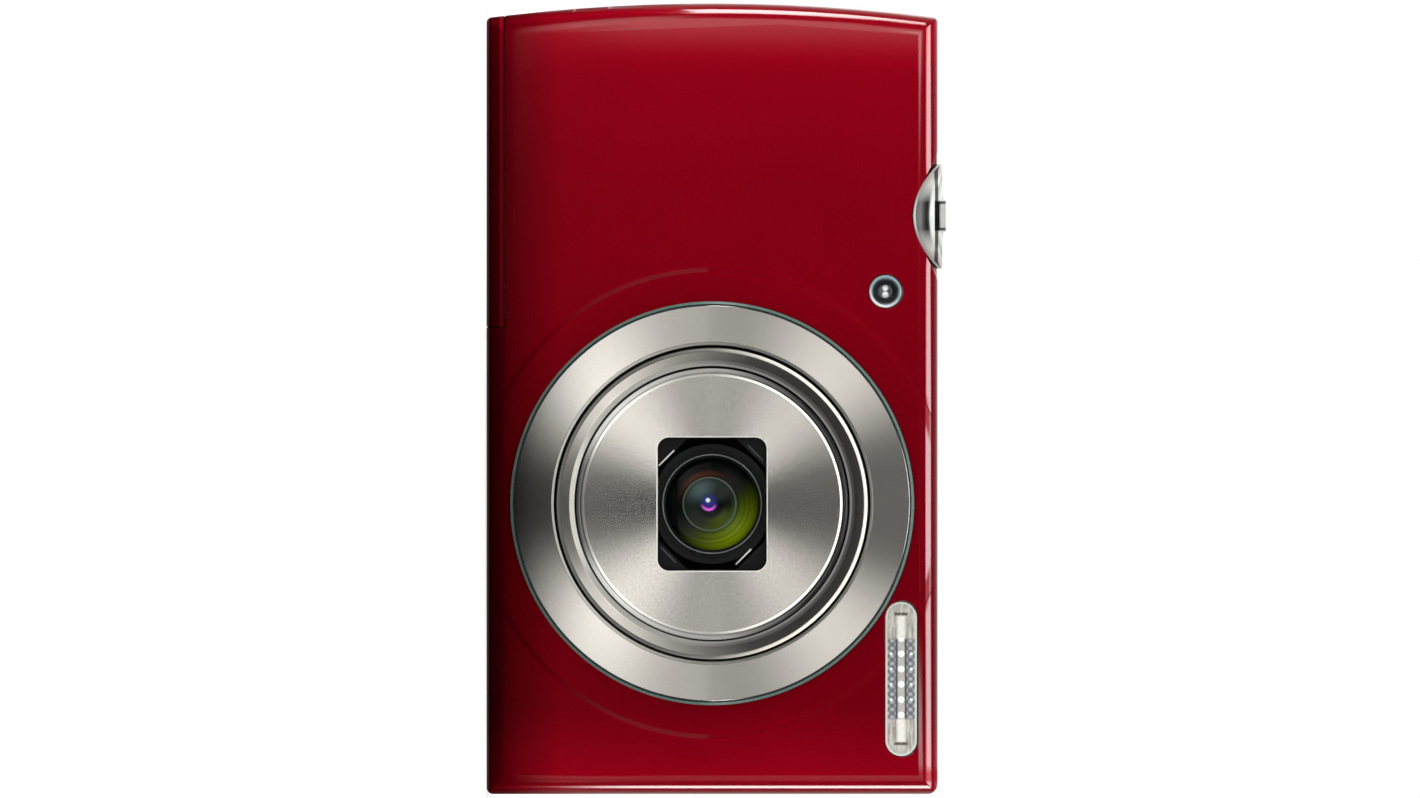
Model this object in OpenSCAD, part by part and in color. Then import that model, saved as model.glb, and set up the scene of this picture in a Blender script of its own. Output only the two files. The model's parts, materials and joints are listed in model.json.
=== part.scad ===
// Compact digital camera with a telescoping zoom lens, shown switched on.
// Front of the camera faces -Y, its top faces +Z, and it stands on z = 0.
// All sizes are in millimetres.

/* [Body] */
// Width over the bowed grip end
body_w = 95.2; // [85.6:0.1:107]
// Height from base to top
body_h = 54.3; // [48.8:0.1:61]
// Depth of the two covers without the lens ring
body_d = 19.4; // [19:0.1:24]
// How far the grip end bows out past its corners
end_bow = 1.75; // [1:0.05:2.5]
// Radius of the long front edges
front_edge_r = 2.4; // [1.5:0.1:3]
// Radius of the long rear edges
rear_edge_r = 2; // [1.5:0.1:3]
// Front view corner radius at the top of the far end
top_corner_r = 1.3; // [0.8:0.1:2]
// Front view corner radius at the base of the far end
base_corner_r = 0.8; // [0.5:0.1:2]
// Front view corner radius at the grip end
grip_corner_r = 0.7; // [0.5:0.1:1.2]
// Wall of the front cover
cover_wall = 0.9; // [0.7:0.05:1.2]
// Rear wall, thicker than the sides to carry the screen
rear_wall = 1.2; // [1:0.05:1.4]
// Depth of the rear cover behind the seam
rear_cover_d = 4.7; // [4.2:0.1:5]
// Gap left open along parting lines
parting_gap = 0.14; // [0.08:0.02:0.2]
// Clearance between nested pieces
clearance = 0.1; // [0.05:0.01:0.15]
// Clearance between pieces that slide past each other
slide_gap = 0.3; // [0.2:0.02:0.35]

/* [Lens ring and barrels] */
// Distance of the lens axis from the far end
lens_from_far = 35.03; // [34:0.1:38]
// Distance of the ring round the lens from the base and from the top
bezel_margin = 2.85; // [2.6:0.05:3.6]
// How far the ring stands out of the front cover
bezel_proud = 2.7; // [2:0.1:4]
// How far the low step in the front cover reaches past the ring
plateau_reach = 4.1; // [3:0.1:4.5]
// Height of that step
plateau_h = 0.2; // [0.1:0.05:0.3]
// Radius of the outer barrel, as a share of the ring's
barrel_share = 0.7704; // [0.765:0.0001:0.775]
// Wall of the outer barrel
barrel_1_wall = 1.42; // [1.2:0.02:1.5]
// Length of the outer barrel
barrel_1_len = 13.4; // [13:0.1:13.5]
// Step from the bore of the outer barrel down to the inner barrel
barrel_step = 1.1; // [1:0.05:1.3]
// Wall of the inner barrel
barrel_2_wall = 1.2; // [1:0.05:1.3]
// Length of the inner barrel
barrel_2_len = 12.2; // [12:0.1:12.3]
// How far the outer barrel stands out when switched on
barrel_1_out = 9.5; // [8:0.1:10]
// How far the inner barrel stands out of the outer one
barrel_2_out = 8.5; // [8:0.1:9]
// Thickness of the lens face trim
face_t = 0.5; // [0.4:0.05:0.6]
// Width of the lens window along the camera's width, as a share of the inner barrel's radius
window_w_share = 0.9815; // [0.9:0.0005:1]
// Height of the lens window, as a share of the inner barrel's radius
window_h_share = 0.8025; // [0.75:0.0005:0.815]
// Corner radius of the lens window
window_r = 1.35; // [0.8:0.05:2]
// Radius of the front glass, as a share of the inner barrel's radius
glass_share = 0.395; // [0.37:0.001:0.405]
// Thickness of a barrier leaf
leaf_t = 0.25; // [0.2:0.01:0.28]

/* [Top controls] */
// Distance of the shutter button from the bowed grip end
shutter_from_grip = 25.6; // [24:0.1:27]
// Distance of the shutter button's axis behind the front face
shutter_from_front = 5.6; // [5.3:0.1:6]
// Outer radius of the zoom lever
lever_r = 6.3; // [6:0.05:6.6]
// Depth of the dish round the zoom lever
dish_depth = 3.65; // [3.4:0.05:3.9]
// Radius of the shutter button
shutter_r = 4.1; // [3.6:0.05:4.2]
// Travel of the shutter button
shutter_travel = 0.6; // [0.4:0.05:0.7]
// Radius of the power button
power_r = 2.6; // [2:0.1:3]

/* [Front details] */
// Place of the focus lamp, as a share of the way from the shutter button to the lens axis
lamp_share = 0.263; // [0.22:0.001:0.32]
// Distance of the focus lamp below the top
lamp_from_top = 6.3; // [5.5:0.1:7]
// Radius of the focus lamp's rim
lamp_r = 1.95; // [1.6:0.05:2.2]
// Length of the flash window
flash_w = 18.6; // [16:0.1:19]
// Height of the flash window
flash_h = 3.8; // [3.4:0.1:4]
// Distance of the flash window's outer end from the far end
flash_from_far = 4.6; // [4:0.1:5]
// Distance of the flash window's middle below the top
flash_from_top = 4.4; // [4.3:0.1:5]

/* [Screen and rear controls] */
// Width of the rear control column beside the screen
column_w = 29.2; // [28.4:0.1:31]
// Distance of the screen window from the base and from the top
screen_margin = 3.75; // [3:0.05:6]
// Distance of the screen window from the far end
screen_from_far = 4; // [3.5:0.1:6]
// Thickness of the screen window
screen_t = 0.7; // [0.5:0.05:0.8]
// Distance of the rear control column from the bowed grip end
pad_from_grip = 15.2; // [14.6:0.1:16]
// Outer radius of the four-way pad
pad_r = 9.6; // [8.5:0.1:10]
// Radius of the set button inside the pad
set_r = 4.2; // [3.6:0.1:4.4]
// Radius of the small rear buttons
key_r = 2.6; // [2:0.1:3]
// Travel of the rear buttons
key_travel = 0.25; // [0.15:0.01:0.3]
// How far the rear buttons stand out
key_proud = 0.4; // [0.2:0.05:0.6]

/* [Battery, card and base] */
// Thickness of the battery
battery_t = 5.2; // [4.8:0.05:5.25]
// Width of the memory card
card_w = 24; // [20:0.1:24.5]
// Height of the memory card
card_h = 32; // [28:0.1:34]
// Thickness of the memory card
card_t = 2.1; // [1.8:0.05:2.15]
// Height of the door's lip on the front face
door_lip = 2.1; // [1.8:0.05:2.2]
// Radius of the door's hinge pin
door_pin_r = 0.5; // [0.4:0.05:0.55]
// How far the door slides before it swings
door_slide = 2.2; // [1.8:0.1:2.3]
// Distance of the tripod socket from the far end
tripod_from_far = 7.6; // [7.4:0.1:9]
// Inner radius of the tripod socket, for a quarter inch camera screw
tripod_r = 2.58; // [2.4:0.01:2.7]
// Depth of the tripod socket
tripod_depth = 5.5; // [4.5:0.1:5.8]

/* [Hidden] */
$fn = 96;

// Outer planes of the body
x_grip = -body_w / 2;
x_far = body_w / 2;
y_front = -body_d / 2;
y_back = body_d / 2;
y_inner_front = y_front + cover_wall;
y_inner_back = y_back - rear_wall;
y_seam = y_back - rear_cover_d;
z_roof = body_h - cover_wall;
bow_r = (pow(body_h / 2, 2) + pow(end_bow, 2)) / (2 * end_bow);
bow_x = x_grip + bow_r;
// Reach of cutting shapes past the body
over = 8;

// Lens axis and the shells round it
lens_x = x_far - lens_from_far;
lens_z = body_h / 2;
bezel_r = lens_z - bezel_margin;
plateau_r = bezel_r + plateau_reach;
barrel_1_r = barrel_share * bezel_r;
bezel_in_r = barrel_1_r + slide_gap;
spigot_wall = 0.75;
spigot_r = bezel_in_r + spigot_wall;
ring_wall = 1;
ring_in_r = barrel_1_r + slide_gap + 0.08;
ring_out_r = ring_in_r + ring_wall;
housing_wall = 0.8;
housing_in_r = ring_out_r + slide_gap;
housing_r = housing_in_r + housing_wall;
ear_w = 9;
ear_x = 0.731 * housing_r;
ear_z = 0.708 * housing_r;
slot_w = 1.8;
slot_l = 16;
slot_y = -4;
y_bezel = y_front - bezel_proud;
y_lens_shut = y_bezel + 0.1;
y_barrel_1 = y_lens_shut - barrel_1_out;
y_barrel_1_end = y_barrel_1 + barrel_1_len;
y_face = y_barrel_1 - barrel_2_out;
barrel_1_in_r = barrel_1_r - barrel_1_wall;
barrel_2_r = barrel_1_in_r - barrel_step;
barrel_2_in_r = barrel_2_r - barrel_2_wall;
tube_out_r = barrel_2_in_r - slide_gap - 0.1;
tube_in_r = tube_out_r - 0.7;
group_r = tube_in_r - slide_gap;
window_w = window_w_share * barrel_2_r;
window_h = window_h_share * barrel_2_r;
glass_r = glass_share * barrel_2_r;
wall_2 = 0.5;
y_leaf = y_face + face_t + wall_2 + clearance;
y_hood = y_leaf + 2 * leaf_t + 3 * clearance;
hood_plate_t = 0.75;
hood_tube_l = 4.3;
hood_tube_r = glass_r + clearance + 0.7;
leaf_h = window_h / 4 + 0.45;
leaf_open = window_h / 2 + 0.15;
leaf_w = window_w + 0.7;

// Depth layers behind the lens
y_base = 1.8;
base_t = 1.2;
y_frame = 4.2;
frame_t = 0.6;
frame_edge = 3.4;
tab_w = 4.8;
rib_l = 16;
rib_w = 4;

// Focus lens, image sensor and zoom motor
focus_r = 6.2;
focus_glass_r = 4.4;
focus_y = -0.4;
focus_t = 1.3;
sensor_w = 10.8;
sensor_h = 9.2;
plate_w = 26;
plate_h = 20;
motor_r = 3;
motor_gap = 1.12;
motor_turn = 46;
motor_reach = housing_r + motor_gap + motor_r;
motor_x = lens_x - motor_reach * cos(motor_turn);
motor_z = lens_z - motor_reach * sin(motor_turn);
motor_y = -5.5;
pinion_r = 1;
pinion_l = 0.9;
gear_case_w = 5.4;
gear_case_h = 5.6;

// Shutter button and zoom lever
shutter_x = x_grip + shutter_from_grip;
shutter_y = y_front + shutter_from_front;
z_dish = body_h - dish_depth;
dish_top_r = shutter_from_front + 2.8;
lever_top = body_h + 0.55;
lever_floor = z_dish + 2.05;
lever_stem_r = 2.6;
lever_rim_h = 0.65;
lever_tab_w = 3.8;
lever_tab_h = 0.4;
stem_bore_r = 1.5;
z_stem = z_dish - 3.05;

// Rear control layout, from the middle of the four-way pad
pad_x = x_grip + pad_from_grip;
pad_z = 0.4512 * body_h;
y_key_board = 5.6;
key_board_t = 0.6;
dome_h = 0.4;
y_stem = y_key_board + key_board_t + dome_h + key_travel + 0.05;
key_flange_t = 0.5;
key_flange = 0.7;
key_stem_r = 1;
key_dx = 6.6;
key_spots = [[pad_x + 1.5, 0.847 * body_h], [pad_x - key_dx, 0.711 * body_h],
             [pad_x + key_dx, 0.711 * body_h], [pad_x, 0.166 * body_h]];
pad_stem_r = 6.9;
dome_r = 1.6;
board_edge = 3.6;

// Screen
screen_w = body_w - column_w - screen_from_far;
screen_h = body_h - 2 * screen_margin;
screen_corner_r = 2;
screen_x = x_far - screen_from_far - screen_w / 2;
screen_z = lens_z;
view_w = screen_w - 6;
view_h = screen_h - 4.5;

// Battery compartment
box_wall = 0.4;
box_x0 = x_grip + end_bow + cover_wall + 0.3;
pocket_x0 = box_x0 + box_wall;
box_gap = 0.52;
box_x1 = lens_x - housing_r - box_gap;
pocket_x1 = box_x1 - 0.3;
box_y0 = y_inner_front + 0.4;
pocket_y0 = box_y0 + box_wall;
pocket_y1 = pocket_y0 + battery_t + 2 * clearance;
card_y0 = pocket_y1 + box_wall;
card_y1 = card_y0 + card_t + 2 * clearance;
box_y1 = card_y1 + box_wall;
box_z0 = 1.5;
battery_z0 = 2.6;
switch_h = 2.7;
switch_w = 9;
switch_d = 8;
z_switch = z_stem - shutter_travel - clearance - switch_h;
box_z1 = z_switch - 0.2;
battery_h = box_z1 - 1.2 - battery_z0;
card_x0 = (pocket_x0 + pocket_x1 - card_w) / 2 - clearance;
lock_y0 = pocket_y0 + 1.2;
lock_y1 = lock_y0 + 2.4;

// Battery door and its hinge
door_x1 = box_x1 + 0.45;
door_t = 0.9;
hinge_r = 1.85;
hinge_z = hinge_r;
roll_t = 0.65;
roll_x = box_x0 + door_slide;
knuckle_r = 0.95;
hinge_y = box_y1 + knuckle_r + 0.15;
edge_back = hinge_z + 0.1;
edge_slope = 1.1;
knuckle_len = 4.6;
lug_len = 2.9;
knuckle_step = (door_x1 - roll_x - 1.2 - knuckle_len) / 2;
knuckle_x = [for (i = [0 : 2]) roll_x + 0.6 + i * knuckle_step];

// Base and end fittings
tripod_x = x_far - tripod_from_far;
tripod_y = -1.5;
tripod_wall = 2;
tripod_flange = 1.4;
tripod_top = tripod_depth + 1.6;
screw_r = 0.75;
screw_head_r = 1.4;
screw_head_t = 0.5;
screw_l = 2.6;
base_screws = [door_x1 + 3.5, x_far - 17];
end_screws = [12, body_h - 12.3];
screw_y = 0.6;
strap_z = body_h - 6.1;
strap_h = 6.4;
strap_y = -1.5;
strap_w = 5;
strap_bar_r = 0.85;
strap_seat = 0.4;
strap_skin = 0.7;
cord_space = 1.9;
strap_rise = strap_z + strap_h / 2 + strap_seat - body_h / 2;
strap_x = bow_x - sqrt(pow(bow_r, 2) - pow(strap_rise, 2)) + strap_bar_r + 0.2;
strap_x1 = strap_x + strap_bar_r + cord_space;
flap_z0 = 20.5;
flap_h = 15;
flap_hinge_r = cover_wall / 2;
flap_hinge_x = flap_hinge_r + 0.08;
flap_y = 0.1;
flap_w = 4.4;
socket_z = flap_z0 + flap_h / 2;
socket_w = 3.2;
socket_h = 8;
socket_wall = 0.4;

// Flash, speaker and power button places
flash_x = x_far - flash_from_far - flash_w / 2;
flash_z = body_h - flash_from_top;
reflector_d = 5;
reflector_t = 0.4;
flash_tube_r = 1;
capacitor_r = 4.2;
capacitor_x = x_far - 7.1;
power_x = shutter_x + 0.52 * (lens_x - shutter_x);
power_y = 0;
power_travel = 0.3;
z_power = body_h - 4.6;
power_board_t = 0.8;
z_power_dome = z_power + power_board_t + dome_h;
power_switch_w = 7.2;
power_switch_d = 8;
speaker_x = lens_x - 4;
speaker_y = 0.5;
speaker_r = 3.6;
speaker_h = 2.2;
sound_hole_r = 0.4;
sound_ring_r = 1.9;
microphone_x = lens_x + 3;
microphone_r = 1.5;
microphone_h = 1.5;
lamp_x = shutter_x + lamp_share * (lens_x - shutter_x);
lamp_z = body_h - lamp_from_top;
terminal_x1 = x_grip + 9.6;

// Shapes shared by several pieces

// Draws an outline given in X and Z, through a depth in Y
module along_y(y0, y1) {
    translate([0, y1, 0]) rotate([90, 0, 0]) linear_extrude(y1 - y0) children();
}

// Draws an outline given in Y and Z, through a width in X
module along_x(x0, x1) {
    translate([x0, 0, 0]) rotate([90, 0, 90]) linear_extrude(x1 - x0) children();
}

// Draws an outline given in X and Y, through a height in Z
module along_z(z0, z1) {
    translate([0, 0, z0]) linear_extrude(z1 - z0) children();
}

// Turns a profile given as radius and Y about an axis along Y
module turned_y(x, z) {
    translate([x, 0, z]) rotate([-90, 0, 0]) rotate_extrude() children();
}

// Turns a profile given as radius and Z about an upright axis
module turned_z(x, y) {
    translate([x, y, 0]) rotate_extrude() children();
}

module rod_y(x, z, r, y0, y1) {
    translate([x, y0, z]) rotate([-90, 0, 0]) cylinder(r = r, h = y1 - y0);
}

module rod_x(y, z, r, x0, x1) {
    translate([x0, y, z]) rotate([0, 90, 0]) cylinder(r = r, h = x1 - x0);
}

module rod_z(x, y, r, z0, z1) {
    translate([x, y, z0]) cylinder(r = r, h = z1 - z0);
}

module block(low, high) {
    translate(low) cube(high - low);
}

// Rectangle between two radii and two heights, for turning
module band(r0, r1, a0, a1) {
    translate([r0, a0]) square([r1 - r0, a1 - a0]);
}

// What lies outside a rounded corner: the wedge between two directions
module corner_wedge(middle, one, two, r) {
    difference() {
        polygon([middle, middle + over * one, middle + over * (one + two), middle + over * two]);
        translate(middle) circle(r);
    }
}

// Rectangle with its own radius at each corner, from the low corner round
module soft_rect(x0, y0, x1, y1, r) {
    difference() {
        translate([x0, y0]) square([x1 - x0, y1 - y0]);
        if (r[0] > 0) corner_wedge([x0 + r[0], y0 + r[0]], [-1, 0], [0, -1], r[0]);
        if (r[1] > 0) corner_wedge([x1 - r[1], y0 + r[1]], [1, 0], [0, -1], r[1]);
        if (r[2] > 0) corner_wedge([x1 - r[2], y1 - r[2]], [1, 0], [0, 1], r[2]);
        if (r[3] > 0) corner_wedge([x0 + r[3], y1 - r[3]], [-1, 0], [0, 1], r[3]);
    }
}

// Rectangle about a middle, with one corner radius
module soft_plate(x, y, w, h, r) {
    soft_rect(x - w / 2, y - h / 2, x + w / 2, y + h / 2, [r, r, r, r]);
}

// Slot with round ends, lying along X
module stadium(x, z, w, h) {
    translate([x - w / 2 + h / 2, z - h / 2]) square([w - h, h]);
    for (side = [-1, 1]) translate([x + side * (w - h) / 2, z]) circle(h / 2);
}

// Rounds the four corners that the front view shows
module outline_corners(inset) {
    r_grip = grip_corner_r - min(inset, grip_corner_r - 0.2);
    r_top = top_corner_r - min(inset, top_corner_r - 0.2);
    r_base = base_corner_r - min(inset, base_corner_r - 0.2);
    rise = body_h / 2 - inset - r_grip;
    reach = bow_r - inset - r_grip;
    run = sqrt(reach * reach - rise * rise);
    difference() {
        translate([x_grip - over, -over]) square([body_w + 2 * over, body_h + 2 * over]);
        for (side = [-1, 1]) {
            corner_wedge([bow_x - run, body_h / 2 + side * rise], [-run, side * rise] / reach,
                         [0, side], r_grip);
        }
        corner_wedge([x_far - inset - r_top, body_h - inset - r_top], [1, 0], [0, 1], r_top);
        corner_wedge([x_far - inset - r_base, inset + r_base], [1, 0], [0, -1], r_base);
    }
}

// Outer form of the body, moved in by inset, and by back at the rear face
module body_form(inset = 0, back = 0) {
    r_front = front_edge_r - inset;
    r_back = rear_edge_r - back;
    y0 = y_front + inset;
    y1 = y_back - back;
    intersection() {
        translate([bow_x, 0, body_h / 2]) rotate([-90, 0, 0])
            rotate_extrude($fn = 480)
                soft_rect(0, y0, bow_r - inset, y1, [0, r_front, r_back, 0]);
        along_x(x_grip - over, x_far + over)
            soft_rect(y0, inset, y1, body_h - inset, [r_front, r_back, r_back, r_front]);
        along_z(-over, body_h + over)
            soft_rect(x_grip - over, y0, x_far - inset, y1, [0, r_front, r_back, 0]);
        along_y(y_front - over, y_back + over) outline_corners(inset);
    }
}

// Hollow that the two covers enclose
module body_cavity() {
    body_form(cover_wall, rear_wall);
}

// Low round step that frames the lens on the front cover
module lens_plateau() {
    intersection() {
        turned_y(lens_x, lens_z)
            polygon([[0, y_front - plateau_h], [plateau_r - 3 * plateau_h, y_front - plateau_h],
                     [plateau_r, y_front + 0.01], [plateau_r, y_front + 0.6], [0, y_front + 0.6]]);
        translate([0, -plateau_h, 0]) body_form();
    }
}

// Dish sunk into the top round the zoom lever, widened by extra
module lever_dish(extra) {
    turned_z(shutter_x, shutter_y)
        polygon([[0, z_dish - extra], [shutter_from_front - 0.5 + extra, z_dish - extra],
                 [dish_top_r + extra, body_h], [dish_top_r + extra, body_h + over],
                 [0, body_h + over]]);
}

// Space of the battery door's tray, widened by extra. Its rear edge slopes, so that the door drops
// clear of the cover as it swings
module door_space(extra) {
    y_edge = hinge_y - edge_back + extra;
    z_top = door_lip + extra;
    along_x(x_grip - over, door_x1 + extra)
        polygon([[y_front - over, -over], [y_edge + edge_slope * over, -over],
                 [y_edge - edge_slope * z_top, z_top], [y_front - over, z_top]]);
}

// Part of the grip end that the terminal cover fills, widened by extra
module flap_space(extra) {
    block([x_grip - over, flap_y - flap_hinge_x - extra, flap_z0 - extra],
          [x_grip + flap_hinge_x, flap_y + flap_w + extra, flap_z0 + flap_h + extra]);
    block([x_grip, flap_y, flap_z0 - extra],
          [x_grip + 3, flap_y + flap_w + extra, flap_z0 + flap_h + extra]);
    rod_z(x_grip + flap_hinge_x, flap_y, flap_hinge_x + extra, flap_z0 - extra,
          flap_z0 + flap_h + extra);
}

// Pocket in the grip end behind the strap bar, widened by extra
module strap_pocket(extra) {
    y_half = strap_w / 2 + extra;
    z_half = strap_h / 2 + extra;
    block([x_grip - 1, strap_y - y_half, strap_z - z_half],
          [strap_x1 + extra, strap_y + y_half, strap_z + z_half]);
}

// Round push button for the rear: cap, retaining flange and stem
module rear_key(spot, r) {
    y_flange = y_inner_back - slide_gap;
    y_top = y_back + key_proud;
    edge = 0.3;
    turned_y(spot[0], spot[1])
        polygon([[0, y_stem], [key_stem_r, y_stem], [key_stem_r, y_flange - key_flange_t],
                 [r + key_flange, y_flange - key_flange_t], [r + key_flange, y_flange], [r, y_flange],
                 [r, y_top - edge], [r - edge, y_top], [0, y_top]]);
}

// Covers

module front_cover() {
    color("firebrick") difference() {
        intersection() {
            union() {
                difference() {
                    union() {
                        body_form();
                        lens_plateau();
                    }
                    body_cavity();
                }
                intersection() {
                    lever_dish(cover_wall);
                    body_form();
                }
                intersection() {
                    body_form();
                    strap_pocket(strap_skin);
                }
            }
            block([x_grip - over, y_front - over, -over], [x_far + over, y_seam, body_h + over]);
        }
        lever_dish(0);
        rod_z(shutter_x, shutter_y, lever_stem_r + slide_gap, z_dish - over, z_dish + 1);
        rod_y(lens_x, lens_z, spigot_r + clearance, y_front - over, y_inner_front + 0.5);
        along_y(y_front - over, y_inner_front + 0.5)
            stadium(flash_x, flash_z, flash_w + 2 * clearance, flash_h + 2 * clearance);
        rod_y(lamp_x, lamp_z, lamp_r + clearance, y_front - over, y_inner_front + 0.5);
        rod_z(power_x, power_y, power_r + slide_gap, z_roof - 0.5, body_h + 1);
        for (turn = [0 : 60 : 300]) {
            rod_z(speaker_x + sound_ring_r * cos(turn), speaker_y + sound_ring_r * sin(turn),
                  sound_hole_r, z_roof - 0.5, body_h + 1);
        }
        rod_z(speaker_x, speaker_y, sound_hole_r, z_roof - 0.5, body_h + 1);
        rod_z(microphone_x, speaker_y, sound_hole_r, z_roof - 0.5, body_h + 1);
        door_space(parting_gap);
        block([box_x0 - parting_gap, y_front, -over],
              [door_x1 + parting_gap, hinge_y + hinge_r + slide_gap, door_lip + parting_gap]);
        rod_z(tripod_x, tripod_y, tripod_r + tripod_wall + clearance, -1, cover_wall + 0.5);
        flap_space(parting_gap);
        strap_pocket(0);
        rod_z(strap_x, strap_y, strap_bar_r + 0.02, strap_z - strap_h / 2 - strap_seat - 0.1,
              strap_z + strap_h / 2 + strap_seat + 0.1);
        case_screw_spots() screw_hole();
    }
}

module rear_cover() {
    color("firebrick") difference() {
        intersection() {
            difference() {
                body_form();
                body_cavity();
            }
            block([x_grip - over, y_seam + parting_gap, -over],
                  [x_far + over, y_back + over, body_h + over]);
        }
        along_y(y_back - screen_t - 0.05, y_back + 1)
            soft_plate(screen_x, screen_z, screen_w + 2 * clearance, screen_h + 2 * clearance,
                       screen_corner_r + clearance);
        along_y(y_inner_back - 1, y_back + 1) soft_plate(screen_x, screen_z, view_w, view_h, 0.6);
        for (spot = key_spots) {
            rod_y(spot[0], spot[1], key_r + clearance, y_inner_back - 1, y_back + 1);
        }
        rod_y(pad_x, pad_z, pad_r + clearance, y_inner_back - 1, y_back + 1);
    }
}

// Small flat-head case screw, head outwards along +Z, at the origin
module case_screw() {
    translate([0, 0, -screw_head_t]) cylinder(r = screw_head_r, h = screw_head_t);
    translate([0, 0, -screw_l]) cylinder(r = screw_r, h = screw_l - screw_head_t);
}

module screw_hole() {
    translate([0, 0, -screw_head_t - 0.02]) cylinder(r = screw_head_r + clearance, h = 3);
    translate([0, 0, -2 * screw_l]) cylinder(r = screw_r + clearance, h = 2 * screw_l);
}

module case_screw_spots() {
    for (x = base_screws) translate([x, screw_y, 0]) rotate([180, 0, 0]) children();
    for (z = end_screws) translate([x_far, screw_y, z]) rotate([0, 90, 0]) children();
}

module case_screws() {
    color("silver") case_screw_spots() case_screw();
}

// Folded sheet frame that the covers are screwed to
module main_frame() {
    z_low = hinge_z + hinge_r + 1;
    z_high = body_h - 3.5;
    x_low = x_grip + frame_edge;
    x_high = x_far - cover_wall - clearance;
    color("lightgray") difference() {
        union() {
            block([x_low, y_frame, z_low], [x_high, y_frame + frame_t, z_high]);
            for (x = base_screws) {
                block([x - tab_w / 2, y_frame, cover_wall + clearance],
                      [x + tab_w / 2, y_frame + frame_t, z_low + 1]);
                block([x - tab_w / 2, screw_y - 2, cover_wall + clearance],
                      [x + tab_w / 2, y_frame + 0.2, cover_wall + clearance + frame_t]);
            }
            for (z = end_screws) {
                block([x_high - frame_t, screw_y - 2, z - tab_w / 2],
                      [x_high, y_frame + 0.2, z + tab_w / 2]);
            }
        }
        case_screw_spots() screw_hole();
        along_y(y_frame - 1, y_frame + 2) soft_plate(lens_x, lens_z, plate_w + 4, plate_h + 4, 2);
        along_y(y_frame - 1, y_frame + 2) {
            for (share = [0.26, 0.59, 0.77]) stadium(pad_x + 4, share * body_h, rib_l, rib_w);
        }
        block([x_low - 1, y_frame - 1, socket_z - socket_h / 2 - 0.6],
              [terminal_x1 + 0.4, y_frame + 2, socket_z + socket_h / 2 + 0.6]);
    }
}

// Lens unit fixed to the body

module lens_bezel() {
    lip = 0.45;
    color("silver") turned_y(lens_x, lens_z)
        polygon([[bezel_in_r, y_inner_front + 0.2], [spigot_r, y_inner_front + 0.2],
                 [spigot_r, y_front - plateau_h], [bezel_r, y_front - plateau_h],
                 [bezel_r, y_bezel + 1.5], [bezel_r - lip, y_bezel + 1.05],
                 [bezel_r - lip - 0.1, y_bezel + 1.35], [bezel_r - lip - 0.25, y_bezel + 1.05],
                 [bezel_in_r + 0.35, y_bezel], [bezel_in_r, y_bezel + 0.3]]);
}

module lens_housing() {
    color("dimgray") {
        difference() {
            union() {
                turned_y(lens_x, lens_z) {
                    band(housing_in_r, housing_r, y_inner_front + 0.4, y_base);
                    band(6, housing_r, y_base, y_base + base_t);
                    band(6.5, 7.2, -1, y_base);
                }
                along_y(y_base, y_base + base_t) {
                    for (side = [-1, 1]) {
                        soft_plate(lens_x + side * ear_x, lens_z - side * ear_z, ear_w, ear_w, 2);
                    }
                }
            }
            along_y(y_base - 0.5, y_base + base_t + 1)
                soft_plate(lens_x, lens_z, sensor_w + 1.6, sensor_h + 1.8, 0.5);
        }
    }
}

// Cam ring that turns inside the housing and drives the barrels in and out
module drive_ring() {
    color("darkslategray") difference() {
        turned_y(lens_x, lens_z) band(ring_in_r, ring_out_r, y_inner_front + 0.5, y_base - slide_gap);
        for (turn = [0 : 120 : 240]) {
            translate([lens_x, slot_y, lens_z]) rotate([0, turn, 0])
                translate([ring_in_r - ring_wall, -slot_w / 2, -slot_l / 2])
                    cube([4 * ring_wall, slot_w, slot_l]);
        }
    }
}

module zoom_motor() {
    color("silver") {
        rod_y(motor_x, motor_z, motor_r, motor_y, y_frame - slide_gap);
        rod_y(motor_x, motor_z, pinion_r, motor_y - pinion_l, motor_y);
    }
    color("ivory") along_y(y_inner_front + 0.4, motor_y - pinion_l)
        soft_plate(motor_x, motor_z, gear_case_w, gear_case_h, 1.5);
}

module sensor_plate() {
    color("lightgray") along_y(y_base + base_t + 0.05, y_frame - 0.4) difference() {
        soft_plate(lens_x, lens_z, plate_w, plate_h, 2);
        for (side = [-1, 1]) translate([lens_x + side * (plate_w / 2 - 2.4), lens_z]) circle(1);
    }
}

module image_sensor() {
    y1 = y_base + base_t + 0.05;
    filter_w = sensor_w - 2;
    filter_h = sensor_h - 2;
    color("midnightblue") block([lens_x - sensor_w / 2, y1 - 0.7, lens_z - sensor_h / 2],
                                [lens_x + sensor_w / 2, y1, lens_z + sensor_h / 2]);
    color("aqua") block([lens_x - filter_w / 2, y1 - 1.2, lens_z - filter_h / 2],
                        [lens_x + filter_w / 2, y1 - 0.7, lens_z + filter_h / 2]);
}

module focus_lens() {
    curve = 0.5;
    color("slategray") turned_y(lens_x, lens_z)
        polygon([[0, focus_y], [0.77 * focus_glass_r, focus_y + curve / 5],
                 [focus_glass_r, focus_y + curve], [focus_glass_r, focus_y], [focus_r, focus_y],
                 [focus_r, focus_y + focus_t], [0, focus_y + focus_t]]);
}

// Telescoping barrels, drawn where they stand when switched on

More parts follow.
